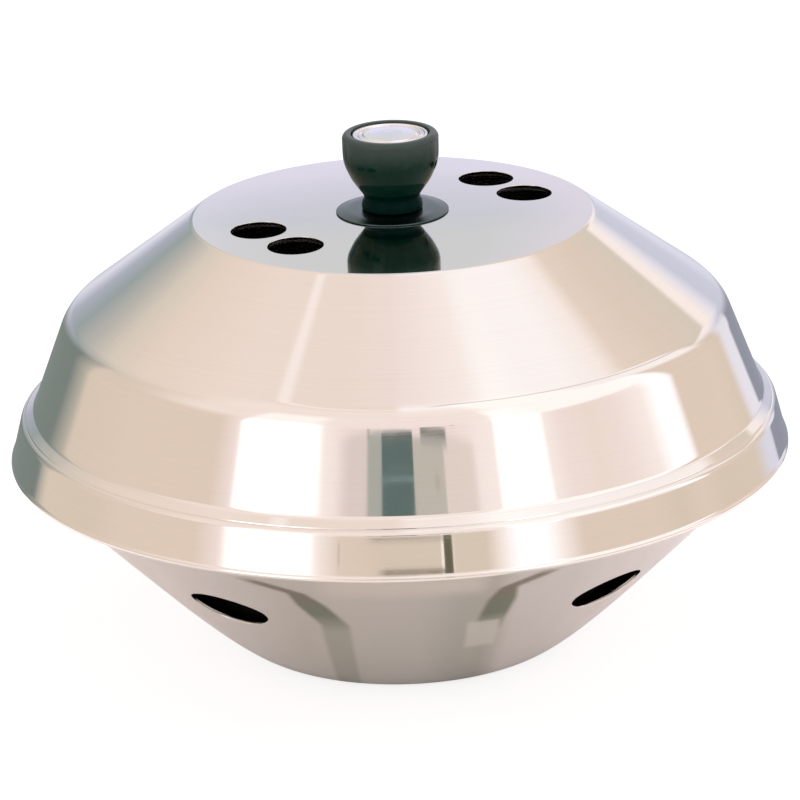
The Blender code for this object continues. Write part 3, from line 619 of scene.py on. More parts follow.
def turned_normals(mesh, segs, tags=None, reach=0.10):
    """Gives every face that lies on the outline the outline's own normals; other faces stay flat.
    tags gives the material index of each run."""
    S = np.array([[*p, *q, *n, *m] for p, n, q, m in segs], float)
    co = np.empty(len(mesh.vertices) * 3)
    mesh.vertices.foreach_get("co", co)
    co = co.reshape(-1, 3) / MM
    npoly = len(mesh.polygons)
    cen = np.empty(npoly * 3)
    mesh.polygons.foreach_get("center", cen)
    cen = cen.reshape(-1, 3) / MM
    nor = np.empty(npoly * 3)
    mesh.polygons.foreach_get("normal", nor)
    nor = nor.reshape(-1, 3)
    th = np.arctan2(cen[:, 1], cen[:, 0])
    rz = np.stack([np.hypot(cen[:, 0], cen[:, 1]), cen[:, 2]], 1)
    nm = np.stack([nor[:, 0] * np.cos(th) + nor[:, 1] * np.sin(th), nor[:, 2]], 1)
    d = S[:, 2:4] - S[:, 0:2]
    L2 = (d**2).sum(1)
    chord = np.stack([-d[:, 1], d[:, 0]], 1) / np.sqrt(L2)[:, None]
    best = np.full(npoly, -1)
    for lo in range(0, npoly, 20000):
        hi = min(lo + 20000, npoly)
        P = rz[lo:hi, None, :] - S[None, :, 0:2]
        t = np.clip((P * d[None]).sum(2) / L2[None], 0, 1)
        dist = np.linalg.norm(P - t[..., None] * d[None], axis=2)
        align = (nm[lo:hi, None, :] * chord[None]).sum(2)
        dist = np.where(align > 0.93, dist, 1e9)
        k = dist.argmin(1)
        ok = dist[np.arange(hi - lo), k] < reach
        best[lo:hi] = np.where(ok, k, -1)
    start = np.empty(npoly, int)
    total = np.empty(npoly, int)
    mesh.polygons.foreach_get("loop_start", start)
    mesh.polygons.foreach_get("loop_total", total)
    nloop = len(mesh.loops)
    lv = np.empty(nloop, int)
    mesh.loops.foreach_get("vertex_index", lv)
    lp = np.repeat(np.arange(npoly), total)
    order = np.argsort(np.repeat(start, total) + np.concatenate([np.arange(t) for t in total]), kind="stable")
    lp = lp[order]
    seg = best[lp]
    v = co[lv]
    r = np.hypot(v[:, 0], v[:, 1])
    tv = np.where(r > 0.02, np.arctan2(v[:, 1], v[:, 0]), th[lp])
    k = np.maximum(seg, 0)
    P = np.stack([r, v[:, 2]], 1) - S[k, 0:2]
    t = np.clip((P * d[k]).sum(1) / L2[k], 0, 1)[:, None]
    n2 = S[k, 4:6] * (1 - t) + S[k, 6:8] * t
    n2 /= np.linalg.norm(n2, axis=1, keepdims=True)
    out = np.stack([n2[:, 0] * np.cos(tv), n2[:, 0] * np.sin(tv), n2[:, 1]], 1)
    out = np.where(seg[:, None] >= 0, out, nor[lp])
    if tags is not None:
        tag = np.array(tags)
        mesh.polygons.foreach_set("material_index", np.where(best >= 0, tag[np.maximum(best, 0)], 0).astype(np.int32))
    mesh.polygons.foreach_set("use_smooth", np.ones(npoly, bool))
    mesh.normals_split_custom_set(out.tolist())
    mesh.update()
    return mesh


def temp_object(mesh, name="tmp"):
    obj = bpy.data.objects.new(name, mesh)
    SCENE.collection.objects.link(obj)
    return obj


def boolean(mesh, tools, operation="DIFFERENCE"):
    """The mesh with the tool meshes taken away from it, or joined or kept in common."""
    base = temp_object(mesh, "base")
    made = [base]
    for t in tools:
        o = temp_object(t, "tool")
        made.append(o)
        m = base.modifiers.new("b", "BOOLEAN")
        m.object = o
        m.operation = operation
        m.solver = "EXACT"
    bpy.context.view_layer.update()
    out = bpy.data.meshes.new_from_object(base.evaluated_get(bpy.context.evaluated_depsgraph_get()))
    for o in made:
        bpy.data.objects.remove(o, do_unlink=True)
    return out


def evaluated(obj):
    """The object's shape with its modifiers, as a mesh; the object goes."""
    bpy.context.view_layer.update()
    out = bpy.data.meshes.new_from_object(obj.evaluated_get(bpy.context.evaluated_depsgraph_get()))
    out.transform(obj.matrix_world)
    bpy.data.objects.remove(obj, do_unlink=True)
    return out


def joined(name, meshes):
    """Several meshes as one; bodies stay as they are."""
    bm = bmesh.new()
    for m in meshes:
        bm.from_mesh(m)
    out = bpy.data.meshes.new(name)
    bm.to_mesh(out)
    bm.free()
    return out


def autosmooth(mesh, deg=35):
    mesh.shade_smooth()
    mesh.set_sharp_from_angle(angle=math.radians(deg))
    return mesh


def piece(node, mesh, *materials, body=None, also=()):
    """The shown piece that stands for a CAD node."""
    obj = bpy.data.objects.new(node + "_v", mesh)
    SCENE.collection.objects.link(obj)
    # clearing the materials also sets every face's material index to 0, so the indices are put back
    index = np.empty(len(mesh.polygons), np.int32)
    mesh.polygons.foreach_get("material_index", index)
    mesh.materials.clear()
    for m in materials:
        mesh.materials.append(m)
    mesh.polygons.foreach_set("material_index", np.minimum(index, len(materials) - 1))
    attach(obj, body or BODY_OF[node])
    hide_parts(node, *also)
    return obj


def axis_frame(origin, z_axis, x_hint):
    """Matrix with local Z along z_axis; origin in millimetres."""
    z = Vector(z_axis).normalized()
    x = Vector(x_hint) - z * Vector(x_hint).dot(z)
    x.normalize()
    y = z.cross(x)
    m = Matrix((x, y, z)).transposed().to_4x4()
    m.translation = Vector(origin) * MM
    return m


# ------------------------------------------------------------------ materials
def steel(name, colour, spread, rough, rough_spread, rings, wave, ring_height=0.0, aniso=0.0, smudge=0.0, about="Z"):
    """Polished or satin sheet: fine rings left by the polishing wheel, a slight waviness, faint smears."""
    m = bpy.data.materials.new(name)
    m.use_nodes = True
    g = Graph(m.node_tree)
    where = g.node("ShaderNodeTexCoord").outputs["Object"]
    x, y, z = g.separate(where)
    if about == "X":
        x, y, z = y, z, x
    elif about == "Y":
        x, y, z = z, x, y
    r = g.math("SQRT", g.math("ADD", g.math("MULTIPLY", x, x), g.math("MULTIPLY", y, y)))
    th = g.math("ARCTAN2", y, x)
    lines = g.noise(
        g.combine(g.math("MULTIPLY", r, rings), g.math("MULTIPLY", z, rings), g.math("MULTIPLY", g.math("SINE", th), 0.7)),
        1.0, 4.0, 0.65,
    )
    broad = g.noise(where, 14.0, 3.0, 0.55)
    cloud = g.noise(where, 38.0, 4.0, 0.6, 0.4)
    base = g.mix(g.remap(broad, 0.3, 0.7, 0.0, 1.0), tuple(c * (1 - spread) for c in colour), tuple(min(1.0, c * (1 + spread)) for c in colour))
    base = g.mix(g.remap(lines, 0.35, 0.65, 0.0, 0.10), base, tuple(c * 0.8 for c in colour))
    roughness = g.math("ADD", g.remap(lines, 0.3, 0.7, rough - rough_spread, rough + rough_spread), g.remap(cloud, 0.45, 0.8, 0.0, smudge))
    waves = g.bump(g.noise(where, 16.0, 1.0, 0.4), wave)
    normal = g.bump(lines, ring_height, normal=waves) if ring_height else waves
    s = g.node("ShaderNodeBsdfPrincipled")
    g.put(s.inputs["Base Color"], base)
    g.put(s.inputs["Roughness"], roughness)
    g.put(s.inputs["Normal"], normal)
    s.inputs["Metallic"].default_value = 1.0
    s.inputs["Anisotropic"].default_value = aniso
    out = g.node("ShaderNodeOutputMaterial")
    g.tree.links.new(s.outputs[0], out.inputs["Surface"])
    m.diffuse_color = (*colour, 1.0)
    return m


def brushed(name, colour, rough, along="X", scale=900.0, height=0.000004, tint=None):
    """Strip with a brushed grain along one axis."""
    m = bpy.data.materials.new(name)
    m.use_nodes = True
    g = Graph(m.node_tree)
    where = g.node("ShaderNodeTexCoord").outputs["Object"]
    x, y, z = g.separate(where)
    k = {"X": (scale * 0.03, scale, scale), "Y": (scale, scale * 0.03, scale), "Z": (scale, scale, scale * 0.03)}[along]
    v = g.combine(g.math("MULTIPLY", x, k[0]), g.math("MULTIPLY", y, k[1]), g.math("MULTIPLY", z, k[2]))
    grain = g.noise(v, 1.0, 4.0, 0.6)
    cloud = g.noise(where, 70.0, 3.0, 0.6)
    base = g.mix(g.remap(grain, 0.3, 0.7, 0.0, 1.0), tuple(c * 0.84 for c in colour), tuple(min(1, c * 1.08) for c in colour))
    base = g.mix(g.remap(cloud, 0.5, 0.8, 0.0, 0.35), base, tint or tuple(c * 0.86 for c in colour))
    s = g.node("ShaderNodeBsdfPrincipled")
    g.put(s.inputs["Base Color"], base)
    g.put(s.inputs["Roughness"], g.remap(grain, 0.3, 0.7, rough * 0.8, rough * 1.25))
    g.put(s.inputs["Normal"], g.bump(grain, height))
    s.inputs["Metallic"].default_value = 1.0
    out = g.node("ShaderNodeOutputMaterial")
    g.tree.links.new(s.outputs[0], out.inputs["Surface"])
    m.diffuse_color = (*colour, 1.0)
    return m


def phenolic(name, dark, pale, specks, rough, level):
    """Moulded black resin: glossy, with a faint green cast, moulding ripple and fine specks."""
    m = bpy.data.materials.new(name)
    m.use_nodes = True
    g = Graph(m.node_tree)
    where = g.node("ShaderNodeTexCoord").outputs["Object"]
    cloud = g.noise(where, 120.0, 4.0, 0.6)
    speck = g.noise(where, 2600.0, 2.0, 0.5)
    base = g.mix(g.remap(cloud, 0.3, 0.7, 0.0, 1.0), dark, pale)
    # painted highlight: the knob turns paler towards its top rim, with a ragged edge from the cloud
    _, _, up = g.separate(where)
    rim_highlight = g.remap(g.math("ADD", up, g.math("MULTIPLY", cloud, 0.004)), 0.2350, 0.2490, 0.0, 1.0, smooth=True)
    base = g.mix(rim_highlight, base, specks)
    base = g.mix(g.remap(speck, 0.68, 0.84, 0.0, 0.25), base, specks)
    s = g.node("ShaderNodeBsdfPrincipled")
    g.put(s.inputs["Base Color"], base)
    g.put(s.inputs["Roughness"], g.remap(cloud, 0.3, 0.7, rough * 0.8, rough * 1.3))
    g.put(s.inputs["Normal"], g.bump(speck, 0.000003, normal=g.bump(cloud, 0.00004)))
    s.inputs["IOR"].default_value = 1.5
    s.inputs["Specular IOR Level"].default_value = level
    out = g.node("ShaderNodeOutputMaterial")
    g.tree.links.new(s.outputs[0], out.inputs["Surface"])
    m.diffuse_color = (*pale, 1.0)
    return m


def wire_finish(name, colour, rough, dull=0.0):
    m = bpy.data.materials.new(name)
    m.use_nodes = True
    g = Graph(m.node_tree)
    where = g.node("ShaderNodeTexCoord").outputs["Object"]
    cloud = g.noise(where, 55.0, 4.0, 0.6)
    fine = g.noise(where, 900.0, 3.0, 0.6)
    base = g.mix(g.remap(cloud, 0.3, 0.7, 0.0, 1.0), tuple(c * (0.9 - 0.3 * dull) for c in colour), colour)
    s = g.node("ShaderNodeBsdfPrincipled")
    g.put(s.inputs["Base Color"], base)
    g.put(s.inputs["Roughness"], g.math("ADD", g.remap(fine, 0.3, 0.7, rough * 0.8, rough * 1.2), g.remap(cloud, 0.4, 0.7, 0.0, 0.12 + 0.2 * dull)))
    g.put(s.inputs["Normal"], g.bump(fine, 0.000008 + 0.00003 * dull))
    s.inputs["Metallic"].default_value = 1.0
    out = g.node("ShaderNodeOutputMaterial")
    g.tree.links.new(s.outputs[0], out.inputs["Surface"])
    m.diffuse_color = (*colour, 1.0)
    return m


POLISHED = steel("polished_steel", (0.80, 0.772, 0.745), 0.010, 0.038, 0.010, 1500.0, 0.00002, 0.0000005, smudge=0.030)
INSIDE = steel("inside_steel", (0.62, 0.605, 0.585), 0.03, 0.24, 0.06, 1100.0, 0.00005, 0.000003, aniso=0.5, smudge=0.10)
LINER = steel("liner_steel", (0.54, 0.525, 0.505), 0.04, 0.30, 0.06, 900.0, 0.00006, 0.000004, aniso=0.5, smudge=0.12)
DISC = steel("damper_steel", (0.60, 0.59, 0.575), 0.03, 0.26, 0.05, 1300.0, 0.00004, 0.000003, aniso=0.5, smudge=0.08)
SHIELD = steel("shield_steel", (0.075, 0.110, 0.115), 0.04, 0.24, 0.05, 2600.0, 0.00002, 0.000003, aniso=0.3, smudge=0.08)
MEDAL = steel("medallion_bright", (0.83, 0.83, 0.84), 0.02, 0.13, 0.03, 3200.0, 0.00001, 0.000003, smudge=0.05)
FASTENER = steel("fastener_turned", (0.68, 0.675, 0.665), 0.03, 0.22, 0.05, 3000.0, 0.00001, 0.000003, smudge=0.08)
PIN_STEEL = steel("pin_turned", (0.68, 0.675, 0.665), 0.03, 0.22, 0.05, 3000.0, 0.00001, 0.000003, smudge=0.08, about="X")
BRACKET_Z = brushed("bracket_brushed_z", (0.66, 0.655, 0.64), 0.24, "Z")
BRACKET_X = brushed("bracket_brushed_x", (0.66, 0.655, 0.64), 0.24, "X")
WIRE = wire_finish("grate_wire", (0.70, 0.695, 0.68), 0.20)
CHARCOAL_WIRE = wire_finish("charcoal_grate_wire", (0.40, 0.385, 0.365), 0.42, dull=0.7)
# the speck colour also paints the highlight on the knob's top rim
PHENOLIC = phenolic("phenolic_black", (0.001, 0.017, 0.011), (0.003, 0.024, 0.0155), (0.046, 0.062, 0.058), 0.12, 0.10)
# painted shade: a darker, nearly glossless copy of the phenolic for the neck and foot under the cup
PHENOLIC_NECK_SHADED = phenolic("phenolic_black_neck_shaded", (0.0006, 0.0100, 0.0080), (0.0010, 0.0130, 0.0105), (0.003, 0.010, 0.010), 0.25, 0.02)

# ------------------------------------------------------------------ dimensions shared with the CAD, in millimetres
SHEET, GAP = 1.0, 0.35
VENT_ANGLES = (17.0, 44.0, 197.0, 224.0)
VENT_PITCH, VENT_R = 66.5, 13.0
ROUND = 256


def lid_top(r):
    return 208.9 - 1.3 * (r / 94.3) ** 3


def lid_top_slope(r):
    return -1.3 * 3 / 94.3 * (r / 94.3) ** 2


def polar(r, deg, z=0.0):
    a = math.radians(deg)
    return Vector((r * math.cos(a), r * math.sin(a), z))


# ------------------------------------------------------------------ lid shell
def hole_cutter(radius, depth_top, depth_bottom, edge=0.35, n=72, sheet=SHEET):
    """A punch for a hole with slightly rounded edges through a sheet whose outside is at z = 0."""
    prof = [
        (0.0, depth_top), (radius + edge * 3.0, depth_top), (radius + edge * 1.25, 0.10),
        (radius + edge * 0.62, -edge * 0.16), (radius + edge * 0.2, -edge * 0.5), (radius, -edge),
        (radius, -sheet + edge), (radius + edge * 0.2, -sheet + edge * 0.5), (radius + edge * 0.62, -sheet + edge * 0.16),
        (radius + edge * 1.25, -sheet - 0.10), (radius + edge * 3.0, -depth_bottom), (0.0, -depth_bottom),
    ]
    return turned_mesh("punch", closed(runs(*prof)), n)


def lid_outline():
    shoulder, step_, ledge = (155.9, 161.8), (172.1, 119.2), (178.4, 114.2)
    skirt_end = (182.7, 97.6)
    dome = curve(lambda t: (5.6 + (88.0 - 5.6) * t, lid_top(5.6 + (88.0 - 5.6) * t)), 14)
    # bead of the hem and the small hollow above it
    bead_c, bead_r, hollow_r = Vector((182.5, 94.4)), 1.5, 2.0
    t = (Vector(skirt_end) - Vector(ledge)).normalized()
    n = Vector((-t.y, t.x))
    depth = (bead_c - Vector(ledge)).dot(n)
    rise = hollow_r - depth
    along = math.sqrt((bead_r + hollow_r) ** 2 - rise**2)
    hollow_c = bead_c + n * rise - t * along
    a0 = math.degrees(math.atan2(-n.y, -n.x))
    to_bead = bead_c - hollow_c
    a1 = math.degrees(math.atan2(to_bead.y, to_bead.x))
    if a1 < a0:
        a1 += 360
    hollow = arc(tuple(hollow_c), hollow_r, a0, a1, 5.0)
    b0 = math.degrees(math.atan2(-to_bead.y, -to_bead.x))
    b1 = math.degrees(math.atan2(-t.y, -t.x))
    while b1 > b0:
        b1 -= 360
    bead = arc(tuple(bead_c), bead_r, b0, b1, 9.0)
    upper = [(88.0, lid_top(88.0)), (94.3, 207.6, 4.0), (*shoulder, 20.0), (*step_, 4.5)]
    lower = [(*ledge, 4.2), tuple(hollow[0][0])]
    body = corners(upper + lower, 4.0)[1:-1]
    # a fine crease in the ledge, on the outside only
    down = (Vector(ledge) - Vector(step_)).normalized()
    out = Vector((-down.y, down.x))
    crease = [
        (*(Vector(step_) + down * (5.6 + k) - out * h), r) for k, h, r in ((-0.45, 0.0, 0.4), (0.0, 0.26, 0.25), (0.45, 0.0, 0.4))
    ]
    outer = runs(dome, *corners(upper + crease + lower, 4.0)[1:-1], hollow)
    inner = offset_back(runs(dome, *body, hollow[0][0]), SHEET)
    # the inner side starts where the bead meets it
    whole = outer + runs(bead)
    end = whole[-1][2]
    inner_start = inner[0]
    q = inner_start[2]
    inner = [(end, inner_start[3], q, inner_start[3])] + inner[1:]
    segs = closed(whole + inner)
    tags = [0] * len(whole) + [1] * (len(segs) - len(whole))
    return segs, tags


LID_SEGS, LID_TAGS = lid_outline()
lid_mesh = turned_mesh("lid_shell_v", LID_SEGS, ROUND)
_tools = []
for _ang in VENT_ANGLES:
    _m = hole_cutter(VENT_R, 4.0, 5.0, edge=0.2)
    _tilt = Matrix.Rotation(-math.atan(lid_top_slope(VENT_PITCH)), 4, "Y")
    _m.transform(
        Matrix.Rotation(math.radians(_ang), 4, "Z")
        @ Matrix.Translation((VENT_PITCH * MM, 0, lid_top(VENT_PITCH) * MM))
        @ _tilt
    )
    _tools.append(_m)
lid_mesh = boolean(lid_mesh, _tools)
turned_normals(lid_mesh, LID_SEGS, LID_TAGS)
lid = piece("lid_shell", lid_mesh, POLISHED, INSIDE)

# ------------------------------------------------------------------ bowl shell
CONE_R0, CONE_Z0, SLOPE = 123.8, 42.2, 0.993


def cone_r(z):
    return CONE_R0 + (z - CONE_Z0) * SLOPE


def cone_normal(az):
    a = math.radians(az)
    h = 1 / math.hypot(1, SLOPE)
    return Vector((math.sin(a) * h, -math.cos(a) * h, -SLOPE * h))


def on_cone(az, z):
    a = math.radians(az)
    r = cone_r(z)
    return Vector((r * math.sin(a), -r * math.cos(a), z))


def bezier(p0, p1, p2):
    return lambda t: (
        (1 - t) ** 2 * p0[0] + 2 * t * (1 - t) * p1[0] + t * t * p2[0],
        (1 - t) ** 2 * p0[1] + 2 * t * (1 - t) * p1[1] + t * t * p2[1],
    )


def bowl_outline():
    neck_foot = (173.6, CONE_Z0 + (173.6 - CONE_R0) / SLOPE)
    roll = arc((174.9, 112.5), 1.3, -130, 180, 12.0)
    sweep = curve(bezier((CONE_R0, CONE_Z0), (CONE_R0 - CONE_Z0 * SLOPE, 0.0), (72.6, 0.0)), 26)
    edge = corners([(173.6, 112.5), (*neck_foot, 5.0), (CONE_R0, CONE_Z0)], 5.0)[1]
    outer = runs(roll, edge, sweep, (0.0, 0.0))
    inner = offset_back(outer, SHEET)
    top_cap = arc(
        (
            (inner[-1][2][0] + outer[0][0][0]) / 2,
            (inner[-1][2][1] + outer[0][0][1]) / 2,
        ),
        0.5, -130 + 0, -130 - 180, 30.0,
    )
    segs = closed(outer + inner + runs(top_cap))
    return segs, [0] * len(outer) + [1] * (len(segs) - len(outer))


BOWL_SEGS, BOWL_TAGS = bowl_outline()
bowl_mesh = turned_mesh("bowl_shell_v", BOWL_SEGS, ROUND)
_tools = []
for _az in (-40.0, 40.0, 140.0, -140.0):
    _m = turned_mesh(
        "oval",
        closed(
            runs(
                (0.0, 5.0), (1.10, 5.0), (1.030, 0.10), (1.012, -0.12), (1.0, -0.40), (1.0, -0.60), (1.012, -0.88),
                (1.030, -1.10), (1.10, -6.0), (0.0, -6.0),
            )
        ),
        96,
    )
    _m.transform(Matrix.Diagonal((20.4, 12.9, 1.0, 1.0)))
    _a = math.radians(_az)
    _m.transform(axis_frame(on_cone(_az, 54.0), cone_normal(_az), (math.cos(_a), math.sin(_a), 0)))
    _tools.append(_m)
for _ang in (90.0, 210.0, 330.0):
    _m = hole_cutter(3.35, 4.0, 5.0, edge=0.15, n=32)
    _p = polar(32.0, _ang)
    _m.transform(Matrix.Translation(_p * MM) @ Matrix.Rotation(math.pi, 4, "X"))
    _tools.append(_m)
bowl_mesh = boolean(bowl_mesh, _tools)
turned_normals(bowl_mesh, BOWL_SEGS, BOWL_TAGS)
bowl = piece("bowl_shell", bowl_mesh, POLISHED, INSIDE)

# ------------------------------------------------------------------ liner
def liner_outline():
    r0 = CONE_R0 - 12.0
    foot = (r0 - (CONE_Z0 - 38.0) * SLOPE, 38.0)
    corner = (r0 - (CONE_Z0 - 14.0) * SLOPE, 14.0)
    shoulder = (r0 + (86.5 - CONE_Z0) * SLOPE, 86.5)
    top = corners([(169.3, 90.4), (167.6, 91.8, 1.3), (160.5, 91.8, 3.0), (*shoulder, 3.0), foot], 8.0)[:-1]
    sweep = curve(bezier(foot, corner, (60.0, 14.0)), 20)
    outer = runs(*top, sweep, (0.0, 14.0))
    inner = offset_back(outer, SHEET)
    segs = closed(outer + inner)
    return segs


LINER_SEGS = liner_outline()
liner_mesh = turned_mesh("fire_bowl_v", LINER_SEGS, 192)
_tools = []
for _i in range(8):
    _az = 22.5 + 45 * _i
    _a = math.radians(_az)
    _r = CONE_R0 - 12.0 + (33.0 - CONE_Z0) * SLOPE
    _m = turned_mesh("hole", closed(runs((0.0, 9.0), (6.0, 9.0), (6.0, -9.0), (0.0, -9.0))), 48)
    _m.transform(
        axis_frame((_r * math.sin(_a), -_r * math.cos(_a), 33.0), cone_normal(_az), (math.cos(_a), math.sin(_a), 0))
    )
    _tools.append(_m)
liner_mesh = boolean(liner_mesh, _tools)
turned_normals(liner_mesh, LINER_SEGS)
piece("fire_bowl", liner_mesh, LINER)


# ------------------------------------------------------------------ small turned pieces
def simple_turned(node, items, *materials, n=64, step=8.0, matrix=None, cut=(), tags=None):
    segs = closed(runs(*corners(items, step)))
    mesh = turned_mesh(node + "_v", segs, n)
    if cut:
        mesh = boolean(mesh, list(cut))
    turned_normals(mesh, segs, tags)
    if matrix is not None:
        mesh.transform(matrix)
    return piece(node, mesh, *materials)


def box_mesh(size, centre, edge=0.0):
    bm = bmesh.new()
    bmesh.ops.create_cube(bm, size=1.0)
    bmesh.ops.scale(bm, vec=[s * MM for s in size], verts=bm.verts)
    bmesh.ops.translate(bm, vec=[c * MM for c in centre], verts=bm.verts)
    if edge:
        bmesh.ops.bevel(bm, geom=list(bm.edges), offset=edge * MM, segments=3, affect="EDGES", profile=0.5)
    m = bpy.data.meshes.new("box")
    bm.to_mesh(m)
    bm.free()
    return m


def cylinder_mesh(radius, z0, z1, at=(0, 0), n=48):
    m = turned_mesh("cyl", closed(runs((0.0, z1), (radius, z1), (radius, z0), (0.0, z0))), n)
    m.transform(Matrix.Translation((at[0] * MM, at[1] * MM, 0)))
    return m


# knob: a deep cup with a soft rim, a narrow waist and a short foot
def knob_outline():
    side = spline(
        [
            (22.50, 243.4), (22.46, 239.0), (22.25, 235.0), (21.55, 231.7), (20.35, 228.7), (18.65, 225.2), (16.9, 222.5),
            (15.25, 220.2), (13.75, 218.2), (13.12, 216.7), (13.35, 215.3), (13.95, 214.0), (14.2, 212.6),
        ],
        6,
    )
    rim = fillet((18.8, 247.0), (22.55, 247.0), (22.50, 243.4), 2.4, 8.0)
    recess = fillet((18.35, 243.8), (18.35, 247.0), (22.0, 247.0), 0.5, 15.0)
    foot = corners([(14.2, 212.6), (14.2, 210.8, 0.5), (3.75, 210.8)], 15.0)[1]
    return closed(
        runs(recess, rim, side, foot, (3.75, 210.8), (3.75, 232.0), (0.0, 232.0), (0.0, 243.8), (18.35, 243.8))
    )


KNOB_SEGS = knob_outline()
knob_mesh = turned_mesh("knob_v", KNOB_SEGS, 160)
# the neck and foot are matt from the mould, and are also painted darker with almost no gloss as painted shade under the
# cup
turned_normals(knob_mesh, KNOB_SEGS, [1 if (p[1] + q[1]) / 2 < 219.5 else 0 for p, _, q, _ in KNOB_SEGS])
piece("knob", knob_mesh, PHENOLIC, PHENOLIC_NECK_SHADED)

# medallion: a slightly crowned plain disc with a raised bead round it and two turned rings
simple_turned(
    "knob_medallion",
    [
        (0.0, 246.88), (6.0, 246.8, 6.0), (12.6, 246.25, 2.0), (13.1, 245.8, 0.3), (13.7, 245.8, 0.3), (14.2, 246.15, 0.4),
        (14.8, 246.05, 0.4), (15.2, 245.7, 0.3), (15.8, 245.7, 0.3), (16.3, 246.3, 0.5), (17.4, 246.3, 0.5), (18.0, 245.4, 0.4),
        (18.0, 244.15), (0.0, 244.15),
    ],
    MEDAL, n=128, step=10.0,
)

# heat shield
simple_turned(
    "knob_heat_shield",
    [
        (3.8, 210.45), (21.0, 210.42, 20.0), (26.1, 209.62, 0.2), (26.4, 209.35, 0.15), (26.2, 209.06, 0.1), (24.0, 209.3, 1.0),
        (3.8, 209.3),
    ],
    SHIELD, n=128, step=10.0,
)


# damper disc: follows the lid's top from below
def damper_z(r):
    return 208.9 - SHEET - 0.45 - 0.15 + (lid_top(r) - 208.9)


def damper_outline():
    top = curve(lambda t: (3.9 + (84.3 - 3.9) * t, damper_z(3.9 + (84.3 - 3.9) * t)), 10)
    bottom = [((p[0], p[1] - SHEET), (-n[0], -n[1])) for p, n in reversed(top)]
    z = damper_z(85.0)
    rim = runs((84.3, damper_z(84.3)), (84.8, z - 0.12), (85.0, z - 0.4), (85.0, z - 0.6), (84.8, z - 0.9), (84.3, damper_z(84.3) - SHEET))
    return closed(runs(top) + rim + runs(bottom))


DAMPER_SEGS = damper_outline()
damper_mesh = turned_mesh("damper_disc_v", DAMPER_SEGS, 192)
_tools = []
for _ang in VENT_ANGLES:
    _p = polar(VENT_PITCH, _ang)
    _tools.append(cylinder_mesh(VENT_R + 0.8, 195.0, 215.0, (_p.x, _p.y), 72))
_sm = math.degrees(2.3 / 36.0)
_a0, _a1 = 88.0 - 56.0 - _sm, 88.0 + _sm


def slot_mesh(r_mid, half, a0, a1, z0, z1, n=28):
    """A curved slot with round ends."""
    ring = []
    for k in range(n + 1):
        ring.append(polar(r_mid + half, a0 + (a1 - a0) * k / n))
    end = polar(r_mid, a1)
    for k in range(1, 12):
        a = math.radians(a1) + math.pi * k / 12
        ring.append(end + Vector((half * math.cos(a), half * math.sin(a), 0)))
    for k in range(n + 1):
        ring.append(polar(r_mid - half, a1 + (a0 - a1) * k / n))
    start = polar(r_mid, a0)
    for k in range(1, 12):
        a = math.radians(a0) + math.pi + math.pi * k / 12
        ring.append(start + Vector((half * math.cos(a), half * math.sin(a), 0)))
    c = len(ring)
    verts = [(p.x * MM, p.y * MM, z0 * MM) for p in ring] + [(p.x * MM, p.y * MM, z1 * MM) for p in ring]
    faces = [tuple(reversed(range(c))), tuple(range(c, 2 * c))]
    faces += [(k, (k + 1) % c, c + (k + 1) % c, c + k) for k in range(c)]
    return plain_mesh("slot", verts, faces)


_tools.append(slot_mesh(36.0, 2.75, _a0, _a1, 195.0, 215.0))
damper_mesh = boolean(damper_mesh, _tools)
turned_normals(damper_mesh, DAMPER_SEGS)
piece("damper_disc", damper_mesh, DISC)

# stop rivet of the damper
_s = polar(36.0, 88.0, lid_top(36.0))
simple_turned(
    "damper_stop_rivet",
    [
        (0.0, 1.5), (1.4, 1.46, 2.0), (2.6, 1.15, 1.2), (3.1, 0.55, 0.3), (3.1, 0.42), (1.7, 0.42), (1.7, -3.9), (2.6, -3.9, 0.2),
        (2.6, -4.9, 0.3), (0.0, -4.9),
    ],
    FASTENER, n=40, step=12.0, matrix=Matrix.Translation(_s * MM),
)


# ------------------------------------------------------------------ threaded stud, nuts, washers, spring
def threaded_mesh(major, depth, pitch, z0, z1, sides=40, per=8, taper=0.7):
    """A rod with a real helical thread and tapered ends."""
    rings = int((z1 - z0) / pitch * per)
    verts = []
    for i in range(rings + 1):
        z = z0 + (z1 - z0) * i / rings
        end = min(z - z0, z1 - z)
        lead = max(0.0, 1 - end / taper) * (depth + 0.25) if end < taper else 0.0
        for k in range(sides):
            a = 2 * math.pi * k / sides
            ph = (z / pitch - k / sides) % 1.0
            tri = abs(ph * 2 - 1)
            tri = min(1.0, max(0.0, (tri - 0.12) / 0.80))
            r = major - depth * tri
            r = min(r, major - lead)
            verts.append((r * MM * math.cos(a), r * MM * math.sin(a), z * MM))
    faces = []
    for i in range(rings):
        for k in range(sides):
            k2 = (k + 1) % sides
            faces.append((i * sides + k, i * sides + k2, (i + 1) * sides + k2, (i + 1) * sides + k))
    faces.append(tuple(reversed(range(sides))))
    faces.append(tuple(rings * sides + k for k in range(sides)))
    return plain_mesh("thread", verts, faces)


stud_mesh = joined("knob_stud_v", [threaded_mesh(3.4, 0.45, 1.25, 186.7, 231.5), box_mesh((7, 7, 7), (0, 0, 207), 0.3)])
piece("knob_stud", autosmooth(stud_mesh, 50), FASTENER)


